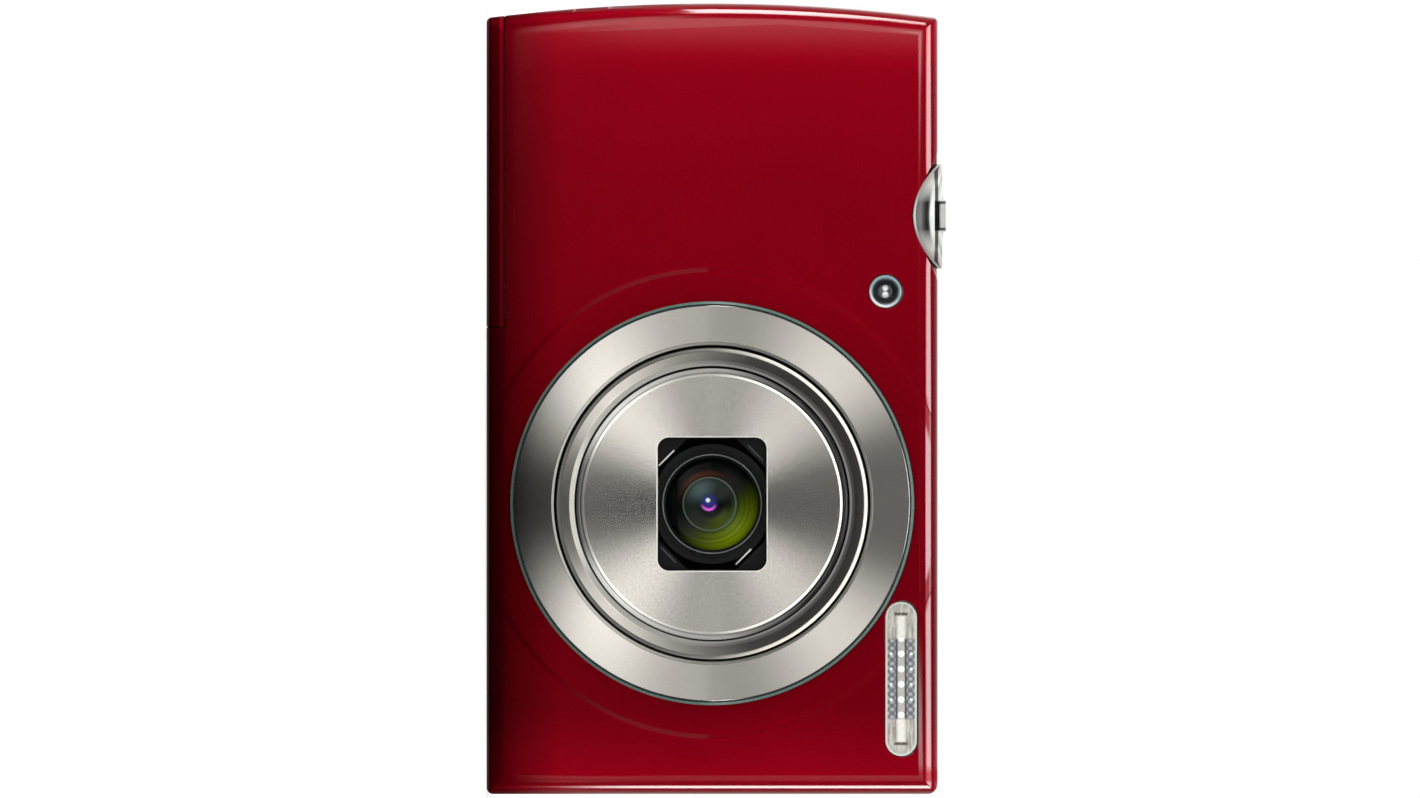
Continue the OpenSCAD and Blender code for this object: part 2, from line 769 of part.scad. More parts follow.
// Its mouth slopes in to a groove and a thin lip that shades the gap round the inner barrel
module barrel_1() {
    slope = 1.1;
    groove = 0.18;
    lip_r = barrel_2_r + slide_gap;
    y_lip = y_barrel_1 + slope + 0.2;
    color("gainsboro") turned_y(lens_x, lens_z)
        polygon([[barrel_1_in_r, y_barrel_1 + slope], [barrel_1_r - 0.2, y_barrel_1],
                 [barrel_1_r - 0.1, y_barrel_1], [barrel_1_r, y_barrel_1 + 0.1],
                 [barrel_1_r, y_barrel_1_end], [barrel_1_in_r, y_barrel_1_end],
                 [barrel_1_in_r, y_lip + 0.8], [lip_r, y_lip + 0.6], [lip_r, y_lip],
                 [barrel_1_in_r - groove, y_lip], [barrel_1_in_r - groove, y_lip + groove],
                 [barrel_1_in_r, y_lip + groove]]);
}

// Straight guide that runs inside the inner barrel, fixed to the rear of the outer one
module guide_tube() {
    y0 = y_barrel_1 + 3;
    color("dimgray") turned_y(lens_x, lens_z) {
        band(tube_in_r, tube_out_r, y0, y_barrel_1_end);
        band(tube_out_r - 0.1, barrel_1_in_r - 0.05, y_barrel_1_end - 0.9, y_barrel_1_end);
    }
}

// Carrier with the shutter and a glass that is hollow at both sides
module rear_lens_group() {
    y0 = y_barrel_1 + 5.3;
    y1 = y0 + 3.6;
    front_r = 4.6;
    rear_r = 5.4;
    sink = 0.6;
    color("black") turned_y(lens_x, lens_z)
        polygon([[0, y0 + sink], [front_r - sink, y0 + sink + 0.2], [front_r, y0], [group_r, y0],
                 [group_r, y1], [rear_r, y1], [rear_r - 0.4, y1 - sink], [0, y1 - 0.2]]);
}

module barrel_2() {
    color("gainsboro") difference() {
        turned_y(lens_x, lens_z) {
            polygon([[barrel_2_in_r, y_face + face_t + wall_2], [0, y_face + face_t + wall_2],
                     [0, y_face + face_t], [barrel_2_r - 0.55, y_face + face_t],
                     [barrel_2_r - 0.55, y_face + 0.25], [barrel_2_r - 0.3, y_face],
                     [barrel_2_r - 0.2, y_face], [barrel_2_r, y_face + 0.2],
                     [barrel_2_r, y_face + barrel_2_len], [barrel_2_in_r, y_face + barrel_2_len]]);
        }
        along_y(y_face - 1, y_face + 2)
            soft_plate(lens_x, lens_z, window_w + 0.4, window_h + 0.4, window_r + 0.2);
    }
}

// Satin trim disc on the inner barrel, with the window of the lens
module lens_face() {
    face_r = barrel_2_r - 0.65;
    color("silver") difference() {
        turned_y(lens_x, lens_z)
            polygon([[0, y_face], [face_r - 0.12, y_face], [face_r, y_face + 0.12],
                     [face_r, y_face + face_t], [0, y_face + face_t]]);
        along_y(y_face - 1, y_face + 2) soft_plate(lens_x, lens_z, window_w, window_h, window_r);
    }
}

// Black mount behind the leaves: a plate with an eight-sided mouth, and the tube for the glass
module lens_hood() {
    cut = 3.5;
    y1 = y_hood + hood_plate_t;
    color("black") difference() {
        turned_y(lens_x, lens_z) {
            band(0, barrel_2_in_r - clearance, y_hood, y1);
            band(0, hood_tube_r, y1 - 0.1, y1 + hood_tube_l);
        }
        along_y(y_hood - 1, y1) intersection() {
            soft_plate(lens_x, lens_z, window_w - 0.2, window_h - 0.2, window_r);
            translate([lens_x, lens_z]) rotate(45)
                square((window_w + window_h - 0.4 - 2 * cut) / sqrt(2), center = true);
        }
        turned_y(lens_x, lens_z) {
            band(0, glass_r + clearance, y1 - 0.01, y1 + hood_tube_l + 1);
        }
    }
}

module front_lens() {
    y0 = y_hood + hood_plate_t + 0.9;
    dome = 15;
    color("darkgreen") intersection() {
        rod_y(lens_x, lens_z, glass_r, y0 - 2, y0 + 2.8);
        translate([lens_x, y0 - 0.5 + dome, lens_z]) sphere(dome);
    }
}

module lens_retainer() {
    y0 = y_hood + hood_plate_t;
    color("black") turned_y(lens_x, lens_z)
        polygon([[glass_r - 0.1, y0 + 0.1], [glass_r + 0.05, y0 + 0.1], [glass_r + 0.05, y0 + 0.75],
                 [glass_r - 0.9, y0 + 0.75], [glass_r - 0.9, y0 + 0.6]]);
}

// One barrier leaf above (side 1) or below (side -1) the window, in its layer
module barrier_leaf(side, layer) {
    y0 = y_leaf + layer * (leaf_t + clearance);
    z_edge = lens_z + side * leaf_open;
    color("black") along_y(y0, y0 + leaf_t)
        translate([lens_x, z_edge + side * leaf_h / 2])
            soft_plate(0, 0, leaf_w, leaf_h, 0.4);
}

module leaf_upper_inner() {
    barrier_leaf(1, 0);
}

module leaf_upper_outer() {
    barrier_leaf(1, 1);
}

module leaf_lower_inner() {
    barrier_leaf(-1, 0);
}

module leaf_lower_outer() {
    barrier_leaf(-1, 1);
}

// Top controls

// Zoom lever: a bowl round the shutter button, turning on a hollow stem
module zoom_lever() {
    bowl_r = lever_r - 0.3;
    color("silver") difference() {
        union() {
            turned_z(shutter_x, shutter_y) {
                intersection() {
                    translate([0.35, lever_top - 0.15]) circle(bowl_r);
                    band(0, lever_r, z_dish + slide_gap, lever_top - lever_rim_h + 0.15);
                }
                band(0, lever_r, lever_top - lever_rim_h, lever_top);
                band(0, lever_stem_r, z_stem, z_dish + 1);
            }
            along_z(lever_top - 0.2, lever_top + lever_tab_h)
                soft_plate(shutter_x, shutter_y - lever_r + 0.75, lever_tab_w, 1.7, 0.4);
        }
        rod_z(shutter_x, shutter_y, shutter_r + slide_gap - clearance, lever_floor, lever_top + 1);
        rod_z(shutter_x, shutter_y, stem_bore_r, z_stem - 1, lever_floor + 1);
    }
}

module shutter_button() {
    crown = 22;
    top = lever_top + 0.25;
    color("silver") {
        intersection() {
            rod_z(shutter_x, shutter_y, shutter_r, lever_floor + shutter_travel + 0.1, top + 1);
            translate([shutter_x, shutter_y, top - crown]) sphere(crown);
        }
        rod_z(shutter_x, shutter_y, stem_bore_r - 0.2, z_stem, lever_floor + 1.2);
    }
}

// Two-stage switch under the shutter button and the lever
module release_switch() {
    color("dimgray") along_z(z_switch, z_switch + switch_h)
        soft_plate(shutter_x, shutter_y, switch_w, switch_d, 1);
}

module power_button() {
    z_low = z_power_dome + power_travel + 0.2;
    z_flange = z_roof - slide_gap;
    z_top = body_h - 0.05;
    edge = 0.25;
    color("silver") turned_z(power_x, power_y)
        polygon([[0, z_low], [key_stem_r, z_low], [key_stem_r, z_flange - key_flange_t],
                 [power_r + key_flange, z_flange - key_flange_t], [power_r + key_flange, z_flange],
                 [power_r, z_flange], [power_r, z_top - edge], [power_r - edge, z_top], [0, z_top]]);
}

module power_switch() {
    z_board = z_power + power_board_t;
    color("seagreen") along_z(z_power, z_board)
        soft_plate(power_x, power_y, power_switch_w, power_switch_d, 0.6);
    color("silver") rod_z(power_x, power_y, dome_r, z_board, z_power_dome);
}

module speaker() {
    color("black") rod_z(speaker_x, speaker_y, speaker_r, z_roof - clearance - speaker_h,
                         z_roof - clearance);
}

module microphone() {
    color("gray") rod_z(microphone_x, speaker_y, microphone_r,
                        z_roof - clearance - microphone_h, z_roof - clearance);
}

// Front details

module focus_lamp_rim() {
    color("silver") turned_y(lamp_x, lamp_z)
        polygon([[lamp_r - 0.95, y_front + 1.6], [lamp_r - 0.75, y_front + 1], [lamp_r - 0.3, y_front],
                 [lamp_r - 0.2, y_front - 0.2], [lamp_r, y_front - 0.1], [lamp_r, y_front + 1.6]]);
}

module focus_lamp_lens() {
    color("white") turned_y(lamp_x, lamp_z) intersection() {
        translate([0, y_front + 2]) circle(1.2);
        band(0, lamp_r - 1, y_front, y_front + 1.6);
    }
}

// Clear flash window, ribbed on its inner side to spread the light
module flash_window() {
    rib_pitch = 1.24;
    rib_h = 0.5;
    y_rib = y_inner_front + 0.25;
    ribs = floor((flash_w - flash_h) / rib_pitch);
    color("whitesmoke") {
        along_y(y_front, y_inner_front + 0.3) stadium(flash_x, flash_z, flash_w, flash_h);
        along_z(flash_z - flash_h / 2 + 0.5, flash_z + flash_h / 2 - 0.5) {
            for (i = [0 : ribs]) {
                x = flash_x + (i - ribs / 2) * rib_pitch;
                polygon([[x - rib_pitch / 2, y_rib], [x + rib_pitch / 2, y_rib], [x, y_rib + rib_h]]);
            }
        }
    }
}

// Polished trough behind the flash window
module flash_reflector() {
    reach = flash_h / 2 + 0.1;
    y_mid = y_inner_front + reflector_d - reach - reflector_t;
    y0 = y_inner_front + 0.9;
    color("silver") along_x(flash_x - flash_w / 2 + 0.6, flash_x + flash_w / 2 - 0.6) difference() {
        union() {
            translate([y_mid, flash_z]) circle(reach + reflector_t);
            translate([y0, flash_z - reach - reflector_t])
                square([y_mid - y0, 2 * (reach + reflector_t)]);
        }
        translate([y_mid, flash_z]) circle(reach);
        translate([y0 - 1, flash_z - reach]) square([y_mid - y0 + 1, 2 * reach]);
    }
}

module flash_tube() {
    y_tube = y_inner_front + reflector_d - reflector_t - flash_tube_r - clearance;
    color("lightcyan") rod_x(y_tube, flash_z, flash_tube_r, flash_x - flash_w / 2 - 0.6,
                             flash_x + flash_w / 2 + 0.6);
}

module flash_capacitor() {
    color("midnightblue") rod_z(capacitor_x, y_inner_front + 0.2 + capacitor_r, capacitor_r,
                                tripod_top + slide_gap, flash_z - flash_h - 6);
}

// Screen and rear controls

module screen_window() {
    color("black") along_y(y_back - screen_t, y_back)
        soft_plate(screen_x, screen_z, screen_w, screen_h, screen_corner_r);
}

module screen_panel() {
    color("darkslateblue") along_y(y_frame + frame_t + 0.2, y_inner_back - 0.3)
        soft_plate(screen_x, screen_z, view_w + 3, view_h + 3, 0.6);
}

module key_board() {
    y1 = y_key_board + key_board_t;
    color("seagreen") along_y(y_key_board, y1)
        soft_rect(x_grip + board_edge, 5.5, screen_x - view_w / 2 - 3, body_h - 4.3, [1, 1, 1, 1]);
    color("silver") {
        for (spot = key_spots) rod_y(spot[0], spot[1], dome_r, y1, y1 + dome_h);
        rod_y(pad_x, pad_z, dome_r, y1, y1 + dome_h);
        for (turn = [0 : 90 : 270]) {
            rod_y(pad_x + pad_stem_r * cos(turn), pad_z + pad_stem_r * sin(turn), dome_r, y1,
                  y1 + dome_h);
        }
    }
}

module main_board() {
    y0 = y_base + 0.4;
    color("seagreen") difference() {
        along_y(y0, y0 + 1)
            soft_rect(x_grip + board_edge, 7, box_x1 - 0.2, body_h - 6, [1, 1, 1, 1]);
        block([x_grip, y0 - 1, socket_z - socket_h / 2 - 0.6],
              [terminal_x1 + 0.4, y0 + 2, socket_z + socket_h / 2 + 0.6]);
    }
}

module direction_pad() {
    y_low = y_inner_back - slide_gap;
    color("silver") {
        turned_y(pad_x, pad_z)
            polygon([[set_r + 0.35, y_low - key_flange_t], [pad_r + 0.6, y_low - key_flange_t],
                     [pad_r + 0.6, y_low], [pad_r, y_low], [pad_r, y_back + key_proud - 0.45],
                     [pad_r - 0.5, y_back + key_proud], [set_r + 0.8, y_back + 0.1],
                     [set_r + 0.35, y_back]]);
        for (turn = [0 : 90 : 270]) {
            rod_y(pad_x + pad_stem_r * cos(turn), pad_z + pad_stem_r * sin(turn), 0.9, y_stem,
                  y_low - key_flange_t + 0.1);
        }
    }
}

module set_button() {
    y_top = y_back + key_proud + 0.05;
    edge = 0.3;
    color("silver") turned_y(pad_x, pad_z)
        polygon([[0, y_stem], [key_stem_r, y_stem], [key_stem_r, y_stem + key_flange_t],
                 [set_r, y_stem + key_flange_t], [set_r, y_top - edge], [set_r - edge, y_top], [0, y_top]]);
}

module movie_button() {
    color("silver") rear_key(key_spots[0], key_r);
}

module auto_button() {
    color("silver") rear_key(key_spots[1], key_r);
}

module playback_button() {
    color("silver") rear_key(key_spots[2], key_r);
}

module menu_button() {
    color("silver") rear_key(key_spots[3], key_r);
}

// Battery compartment

// Moulded holder with the battery and card pockets and the door's hinge lugs
module battery_box() {
    color("darkgray") difference() {
        union() {
            block([box_x0, box_y0, box_z0], [box_x1, box_y1, box_z1]);
            for (x = knuckle_x) {
                if (x > knuckle_x[0]) hinge_lug(x - door_slide - 0.5 - lug_len);
            }
        }
        block([pocket_x0, pocket_y0, box_z0 - 1], [pocket_x1, pocket_y1, box_z1 - 1]);
        block([card_x0, card_y0, box_z0 - 1],
              [card_x0 + card_w + 2 * clearance, card_y1, battery_z0 + card_h + 0.4]);
        block([pocket_x1 - 1, lock_y0 - clearance, box_z0 - 1],
              [box_x1 + 1, lock_y1 + clearance, battery_z0 + clearance]);
    }
}

module hinge_lug(x) {
    difference() {
        union() {
            rod_x(hinge_y, hinge_z, knuckle_r, x, x + lug_len);
            block([x, box_y1 - 0.2, hinge_z - 0.3],
                  [x + lug_len, hinge_y - slide_gap, hinge_z + 2 * knuckle_r]);
        }
        rod_x(hinge_y, hinge_z, door_pin_r + 0.06, x - 1, x + lug_len + 1);
    }
}

module battery() {
    color("dimgray") along_z(battery_z0, battery_z0 + battery_h)
        soft_rect(pocket_x0 + clearance, pocket_y0 + clearance, pocket_x1 - clearance,
                  pocket_y1 - clearance, [1, 1, 1, 1]);
}

module memory_card() {
    color("steelblue") along_y(card_y0 + clearance, card_y1 - clearance) difference() {
        translate([card_x0 + clearance, battery_z0]) square([card_w, card_h]);
        translate([card_x0 + clearance, battery_z0 + card_h]) rotate(45) square(5.6, center = true);
    }
}

// Small spring latch that keeps the battery in
module battery_lock() {
    color("orange") block([pocket_x1 - 1.6, lock_y0, box_z0], [box_x1 + 0.9, lock_y1, battery_z0 - 0.1]);
}

// Door over the battery and card: a tray with a rolled hinge edge. The roll stops short of the
// grip end, so that it clears the cover's end wall once the door is slid out
module battery_door() {
    color("firebrick") difference() {
        union() {
            intersection() {
                difference() {
                    body_form();
                    body_form(door_t, rear_wall);
                }
                union() {
                    door_space(0);
                    block([roll_x, hinge_y - 2 * edge_back, -1], [door_x1, hinge_y, door_t + 0.1]);
                }
            }
            intersection() {
                difference() {
                    rod_x(hinge_y, hinge_z, hinge_r, roll_x, door_x1);
                    rod_x(hinge_y, hinge_z, hinge_r - roll_t, x_grip, door_x1 + 1);
                }
                block([x_grip, hinge_y, 0], [door_x1 + 1, hinge_y + over, hinge_z]);
            }
            for (x = knuckle_x) {
                rod_x(hinge_y, hinge_z, knuckle_r, x, x + knuckle_len);
                block([x, hinge_y - knuckle_r, door_t / 2],
                      [x + knuckle_len, hinge_y + knuckle_r, hinge_z]);
            }
        }
        rod_x(hinge_y, hinge_z, door_pin_r + 0.05, x_grip - 1, door_x1 + 1);
    }
}

module door_pin() {
    color("silver") rod_x(hinge_y, hinge_z, door_pin_r, knuckle_x[0] - 0.6,
                          knuckle_x[2] + knuckle_len + 0.6);
}

// Base and end fittings

module tripod_socket() {
    color("gainsboro") difference() {
        union() {
            rod_z(tripod_x, tripod_y, tripod_r + tripod_wall, 0.1, tripod_top);
            rod_z(tripod_x, tripod_y, tripod_r + tripod_wall + tripod_flange, cover_wall + 0.05,
                  cover_wall + 0.9);
        }
        rod_z(tripod_x, tripod_y, tripod_r, -1, 0.1 + tripod_depth);
    }
}

module strap_bar() {
    color("silver") rod_z(strap_x, strap_y, strap_bar_r, strap_z - strap_h / 2 - strap_seat,
                          strap_z + strap_h / 2 + strap_seat);
}

// Flap over the terminal, swinging on its forward edge
module terminal_cover() {
    color("firebrick") {
        intersection() {
            difference() {
                body_form();
                body_form(cover_wall, rear_wall);
            }
            block([x_grip - 1, flap_y, flap_z0], [x_grip + 3, flap_y + flap_w, flap_z0 + flap_h]);
        }
        rod_z(x_grip + flap_hinge_x, flap_y, flap_hinge_r, flap_z0, flap_z0 + flap_h);
    }
}

module terminal_socket() {
    y_mid = flap_y + flap_w / 2 + 0.4;
    tongue_t = 0.7;
    tongue_w = 5.2;
    color("silver") difference() {
        along_x(x_grip + 1.6, terminal_x1) soft_plate(y_mid, socket_z, socket_w, socket_h, 0.8);
        along_x(x_grip + 1, terminal_x1 - 1)
            soft_plate(y_mid, socket_z, socket_w - 2 * socket_wall, socket_h - 2 * socket_wall, 0.6);
    }
    color("black") block([x_grip + 3, y_mid - tongue_t / 2, socket_z - tongue_w / 2],
                         [terminal_x1 - 0.5, y_mid + tongue_t / 2, socket_z + tongue_w / 2]);
}

front_cover();
rear_cover();
main_frame();
case_screws();
lens_bezel();
lens_housing();
drive_ring();
zoom_motor();
sensor_plate();
image_sensor();
focus_lens();
barrel_1();
guide_tube();
rear_lens_group();
barrel_2();
lens_face();
lens_hood();
front_lens();
lens_retainer();
leaf_upper_inner();
leaf_upper_outer();
leaf_lower_inner();
leaf_lower_outer();
zoom_lever();
shutter_button();
release_switch();
power_button();
power_switch();
speaker();
microphone();
focus_lamp_rim();
focus_lamp_lens();
flash_window();
flash_reflector();
flash_tube();
flash_capacitor();
screen_window();
screen_panel();
key_board();
main_board();
direction_pad();
set_button();
movie_button();
auto_button();
playback_button();
menu_button();
battery_box();
battery();
memory_card();
battery_lock();
battery_door();
door_pin();
tripod_socket();
strap_bar();
terminal_cover();
terminal_socket();
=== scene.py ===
# %% [markdown]
# # A red compact camera, dressed in Blender
# The solids of this camera come packed, each with a name and a place, and they move on named bodies.
# This lesson gives them the look of the real object: painted metal, spun metal, chrome, coated glass.
# Everything is in metres, in the frame of the solids. The front faces -Y and the base stands on z = 0.

import json
import math

import bmesh
import bpy
from mathutils import Matrix, Vector

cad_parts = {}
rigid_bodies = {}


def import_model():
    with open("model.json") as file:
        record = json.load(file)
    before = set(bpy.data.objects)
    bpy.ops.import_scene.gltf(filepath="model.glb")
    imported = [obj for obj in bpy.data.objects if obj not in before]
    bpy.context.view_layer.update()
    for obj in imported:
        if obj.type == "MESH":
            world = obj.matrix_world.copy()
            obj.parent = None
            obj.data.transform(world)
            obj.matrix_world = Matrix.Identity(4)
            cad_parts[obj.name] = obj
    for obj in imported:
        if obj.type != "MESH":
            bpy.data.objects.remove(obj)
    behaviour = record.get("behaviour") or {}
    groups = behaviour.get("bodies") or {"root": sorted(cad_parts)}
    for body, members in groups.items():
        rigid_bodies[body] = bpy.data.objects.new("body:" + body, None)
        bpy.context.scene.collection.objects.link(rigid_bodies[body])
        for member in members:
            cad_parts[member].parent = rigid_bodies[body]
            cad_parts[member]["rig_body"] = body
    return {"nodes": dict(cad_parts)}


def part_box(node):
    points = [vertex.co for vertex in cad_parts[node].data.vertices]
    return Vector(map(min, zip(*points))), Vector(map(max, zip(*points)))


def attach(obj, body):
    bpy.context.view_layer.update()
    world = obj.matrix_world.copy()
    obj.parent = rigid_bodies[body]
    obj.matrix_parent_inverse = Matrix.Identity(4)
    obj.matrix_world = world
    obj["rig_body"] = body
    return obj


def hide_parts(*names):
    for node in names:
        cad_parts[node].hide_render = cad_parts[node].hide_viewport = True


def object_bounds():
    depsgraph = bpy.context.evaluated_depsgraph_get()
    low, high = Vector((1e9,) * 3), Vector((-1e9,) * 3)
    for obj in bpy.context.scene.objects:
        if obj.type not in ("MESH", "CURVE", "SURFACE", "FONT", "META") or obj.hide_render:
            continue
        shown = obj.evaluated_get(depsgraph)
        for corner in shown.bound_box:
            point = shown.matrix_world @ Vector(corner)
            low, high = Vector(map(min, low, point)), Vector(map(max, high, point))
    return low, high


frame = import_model()
nodes = frame["nodes"]
node_box = {name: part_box(name) for name in nodes}
cad_low, cad_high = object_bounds()
scene = bpy.context.scene
MM = 0.001


def low_high(node):
    """The two corners of a solid's box, in millimetres."""
    return [[c / MM for c in corner] for corner in node_box[node]]


def middle_of(node):
    return [(a + b) / 2 for a, b in zip(*low_high(node))]


def radius_of(node):
    """Half the width of a round solid."""
    low, high = low_high(node)
    return (high[0] - low[0]) / 2


half_width = cad_high.x / MM
lens_axis = (middle_of("lens_bezel")[0], 0.0, middle_of("lens_bezel")[2])
print("solids:", len(nodes), "box in mm:", [round(v / MM, 2) for v in cad_high - cad_low])
print("lens axis in mm:", [round(c, 2) for c in lens_axis])

# %% [markdown]
# ## The camera that takes the picture
# The photograph shows the object on its end: its top points to the right of the picture. The real
# object stands on its base, so the viewing camera is rolled a quarter turn instead of the model.
# A long lens from far away keeps the edges parallel, as they are in the photograph.

# %% Place the viewing camera
frame_width = 171.5 * MM
view_distance = 2.5
view_x, view_z = 0.03 * MM, 26.9 * MM
sensor_width = 36


def new_object(name, data):
    thing = bpy.data.objects.new(name, data)
    scene.collection.objects.link(thing)
    return thing


view_data = bpy.data.cameras.new("view")
view_data.sensor_width = sensor_width
view_data.lens = sensor_width * view_distance / frame_width
view_data.clip_end = 100
view_camera = new_object("view", view_data)
right, up, back = Vector((0, 0, 1)), Vector((-1, 0, 0)), Vector((0, -1, 0))
turn = Matrix((right, up, back)).transposed().to_4x4()
view_camera.matrix_world = Matrix.Translation((view_x, -view_distance, view_z)) @ turn
scene.camera = view_camera
scene.view_settings.view_transform = "Standard"
print("lens in mm:", round(view_data.lens))

# %% [markdown]
# ## Node helpers for the finishes
# A finish is a Principled shader with numbers that vary over the surface. Every pattern here reads
# Object coordinates, which stay put when a piece moves. Scales are written in marks per millimetre,
# because that is how a maker would describe a grain. The first helpers add nodes and wire them up.

# %% Helpers that add and wire nodes
def feed(tree, node, sockets):
    """Links each socket to another node's output, or sets a plain number or colour on it."""
    for key, value in sockets.items():
        socket = node.inputs[key]
        if isinstance(value, bpy.types.NodeSocket):
            tree.links.new(value, socket)
        elif socket.type == "RGBA":
            socket.default_value = (*value, 1)
        else:
            socket.default_value = value


def add_node(tree, kind, sockets=None, **settings):
    made = tree.nodes.new("ShaderNode" + kind)
    for key, value in settings.items():
        setattr(made, key, value)
    feed(tree, made, sockets or {})
    return made


def new_finish(name):
    finish = bpy.data.materials.new(name)
    finish.use_nodes = True
    return finish, finish.node_tree, finish.node_tree.nodes["Principled BSDF"]


def calc(tree, operation, *values):
    """One step of arithmetic on plain numbers and other nodes' outputs."""
    return add_node(tree, "Math", dict(enumerate(values)), operation=operation).outputs[0]


def times(tree, one, two):
    return calc(tree, "MULTIPLY", one, two)


def vector(tree, operation, *values):
    """One step of arithmetic on vectors."""
    made = add_node(tree, "VectorMath", dict(enumerate(values)), operation=operation)
    return made.outputs["Value" if operation in ("LENGTH", "DOT_PRODUCT") else "Vector"]


def split(tree, point):
    """The X, Y and Z of a point, looked up by name."""
    return add_node(tree, "SeparateXYZ", {0: point}).outputs


def surface_point(tree, centre=(0, 0, 0), stretch=(1, 1, 1), spin=(0, 0, 0)):
    """Object coordinates in millimetres from a centre, stretched to draw grain out along an axis."""
    place = add_node(tree, "TexCoord").outputs["Object"]
    from_centre = vector(tree, "SUBTRACT", place, [c * MM for c in centre])
    scale = [s / MM for s in stretch]
    mapping = add_node(tree, "Mapping", {"Vector": from_centre, "Scale": scale, "Rotation": spin})
    return mapping.outputs["Vector"]


print("node helpers are ready")

# %% [markdown]
# The next helpers draw patterns: grain, tones that follow a value, bands, and masks that face one way.
# A mask is 1 where a colour shows and 0 where it doesn't, and colours are laid over one another.

# %% Helpers that draw patterns
def noise(tree, point, scale, detail=2.0, rough=0.5):
    sockets = {"Vector": point, "Scale": scale, "Detail": detail, "Roughness": rough}
    return add_node(tree, "TexNoise", sockets).outputs["Fac"]


def spread(tree, value, low, high, start=0.25, end=0.75, kind="LINEAR"):
    """Maps a value that runs from start to end onto the range that a finish needs."""
    sockets = {"Value": value, "From Min": start, "From Max": end, "To Min": low, "To Max": high}
    return add_node(tree, "MapRange", sockets, interpolation_type=kind).outputs["Result"]


def toned(tree, value, stops):
    """A colour that changes with a value, through stops of (value, colour)."""
    ramp = add_node(tree, "ValToRGB", {"Fac": value})
    points = ramp.color_ramp.elements
    while len(points) < len(stops):
        points.new(1.0)
    for point, (place, colour) in zip(points, stops):
        point.position = place
        point.color = (*colour, 1)
    return ramp.outputs["Color"]


def two_tone(tree, value, first, second, start=0.3, end=0.7):
    return toned(tree, value, [(start, first), (end, second)])


def mottled(tree, value, shade, least):
    """A shade that falls to a share of itself where a value is low."""
    return two_tone(tree, value, [least * c for c in shade], shade)


def levels(tree, value, stops):
    """A plain level that changes with a value, through stops of (value, level)."""
    return toned(tree, value, [(place, (level,) * 3) for place, level in stops])


def bumped(tree, shader, height, strength, depth_mm):
    bump = add_node(tree, "Bump", {"Height": height, "Strength": strength, "Distance": depth_mm * MM})
    feed(tree, shader, {"Normal": bump.outputs["Normal"]})


def flat_distance(tree, centre, half_length=0.0):
    """Distance in X and Z, in millimetres, from a point or from a line of a half length along X.

    The vector that it is measured along and the X, Y and Z from the centre come with it."""
    part = split(tree, surface_point(tree, centre))
    along = part["X"]
    if half_length:
        past = calc(tree, "SUBTRACT", calc(tree, "ABSOLUTE", along), half_length)
        along = calc(tree, "MAXIMUM", past, 0)
    flat = add_node(tree, "CombineXYZ", {"X": along, "Z": part["Z"]}).outputs[0]
    return vector(tree, "LENGTH", flat), flat, part


def band_mask(tree, value, low, high, soft):
    """1 between low and high, fading out over soft on both sides."""
    up = spread(tree, value, 0, 1, low - soft, low)
    down = spread(tree, value, 1, 0, high, high + soft)
    return times(tree, up, down)


def toward_mask(tree, flat, direction, narrow):
    """1 toward a direction in X and Z, falling off round the axis."""
    aim = Vector((direction[0], 0, direction[1])).normalized()
    facing = vector(tree, "DOT_PRODUCT", vector(tree, "NORMALIZE", flat), aim)
    return spread(tree, facing, 0, 1, 1 - narrow, 1)


def layered(tree, under, layers):
    """Lays colours over one another, each where its mask, or the product of its masks, says so."""
    for masks, colour in layers:
        if not isinstance(masks, tuple):
            masks = (masks,)
        amount = masks[0]
        for extra in masks[1:]:
            amount = times(tree, amount, extra)
        mix = add_node(tree, "Mix", {"Factor": amount, "A": under, "B": colour}, data_type="RGBA")
        under = mix.outputs["Result"]
    return under


print("pattern helpers are ready")

# %% [markdown]
# ## Floor, backdrop and studio
# The object stands on a pale table in front of a white backdrop. The picture's background is white
# because floor and world show white to camera, glossy and see-through rays. The floor keeps a part
# of its own shading, most of it near the object, so the shadow stays.

# %% Pale floor and white world
def background_rays(tree):
    """1 for camera, glossy and see-through rays, and 0 for the rays that light the object."""
    path = add_node(tree, "LightPath").outputs
    seen = calc(tree, "MAXIMUM", path["Is Camera Ray"], path["Is Glossy Ray"])
    return calc(tree, "MAXIMUM", seen, path["Is Transmission Ray"])


def mesh_object(name, shape, finish):
    """Turns a bmesh into an object with a finish."""
    mesh = bpy.data.meshes.new(name)
    shape.to_mesh(mesh)
    shape.free()
    mesh.materials.append(finish)
    return new_object(name, mesh)


floor_half = 30
floor_finish, tree, shader = new_finish("table_white")
feed(tree, shader, {"Base Color": (0.9, 0.9, 0.89), "Roughness": 0.8, "Specular IOR Level": 0.1})
white_table = add_node(tree, "Emission", {"Strength": 1.25}).outputs["Emission"]
from_object = vector(tree, "LENGTH", surface_point(tree))
share = times(tree, background_rays(tree), spread(tree, from_object, 0.5, 0.74, 100, 500))
mixed = add_node(tree, "MixShader", {"Fac": share, 1: shader.outputs["BSDF"], 2: white_table})
feed(tree, tree.nodes["Material Output"], {"Surface": mixed.outputs["Shader"]})
shape = bmesh.new()
bmesh.ops.create_grid(shape, x_segments=1, y_segments=1, size=floor_half)
floor = mesh_object("floor", shape, floor_finish)

world = bpy.data.worlds.new("studio")
scene.world = world
world.use_nodes = True
tree = world.node_tree
strength = spread(tree, background_rays(tree), 0.42, 1.0, 0, 1)
feed(tree, tree.nodes["Background"], {"Color": (1, 1, 1), "Strength": strength})
print("floor and white world are set")

# %% [markdown]
# Metal only looks like metal when it has something dark to mirror. So the room is a dark shell with a
# few soft glows, as in a photographer's studio, over a cloth on the table, and only reflections see it.

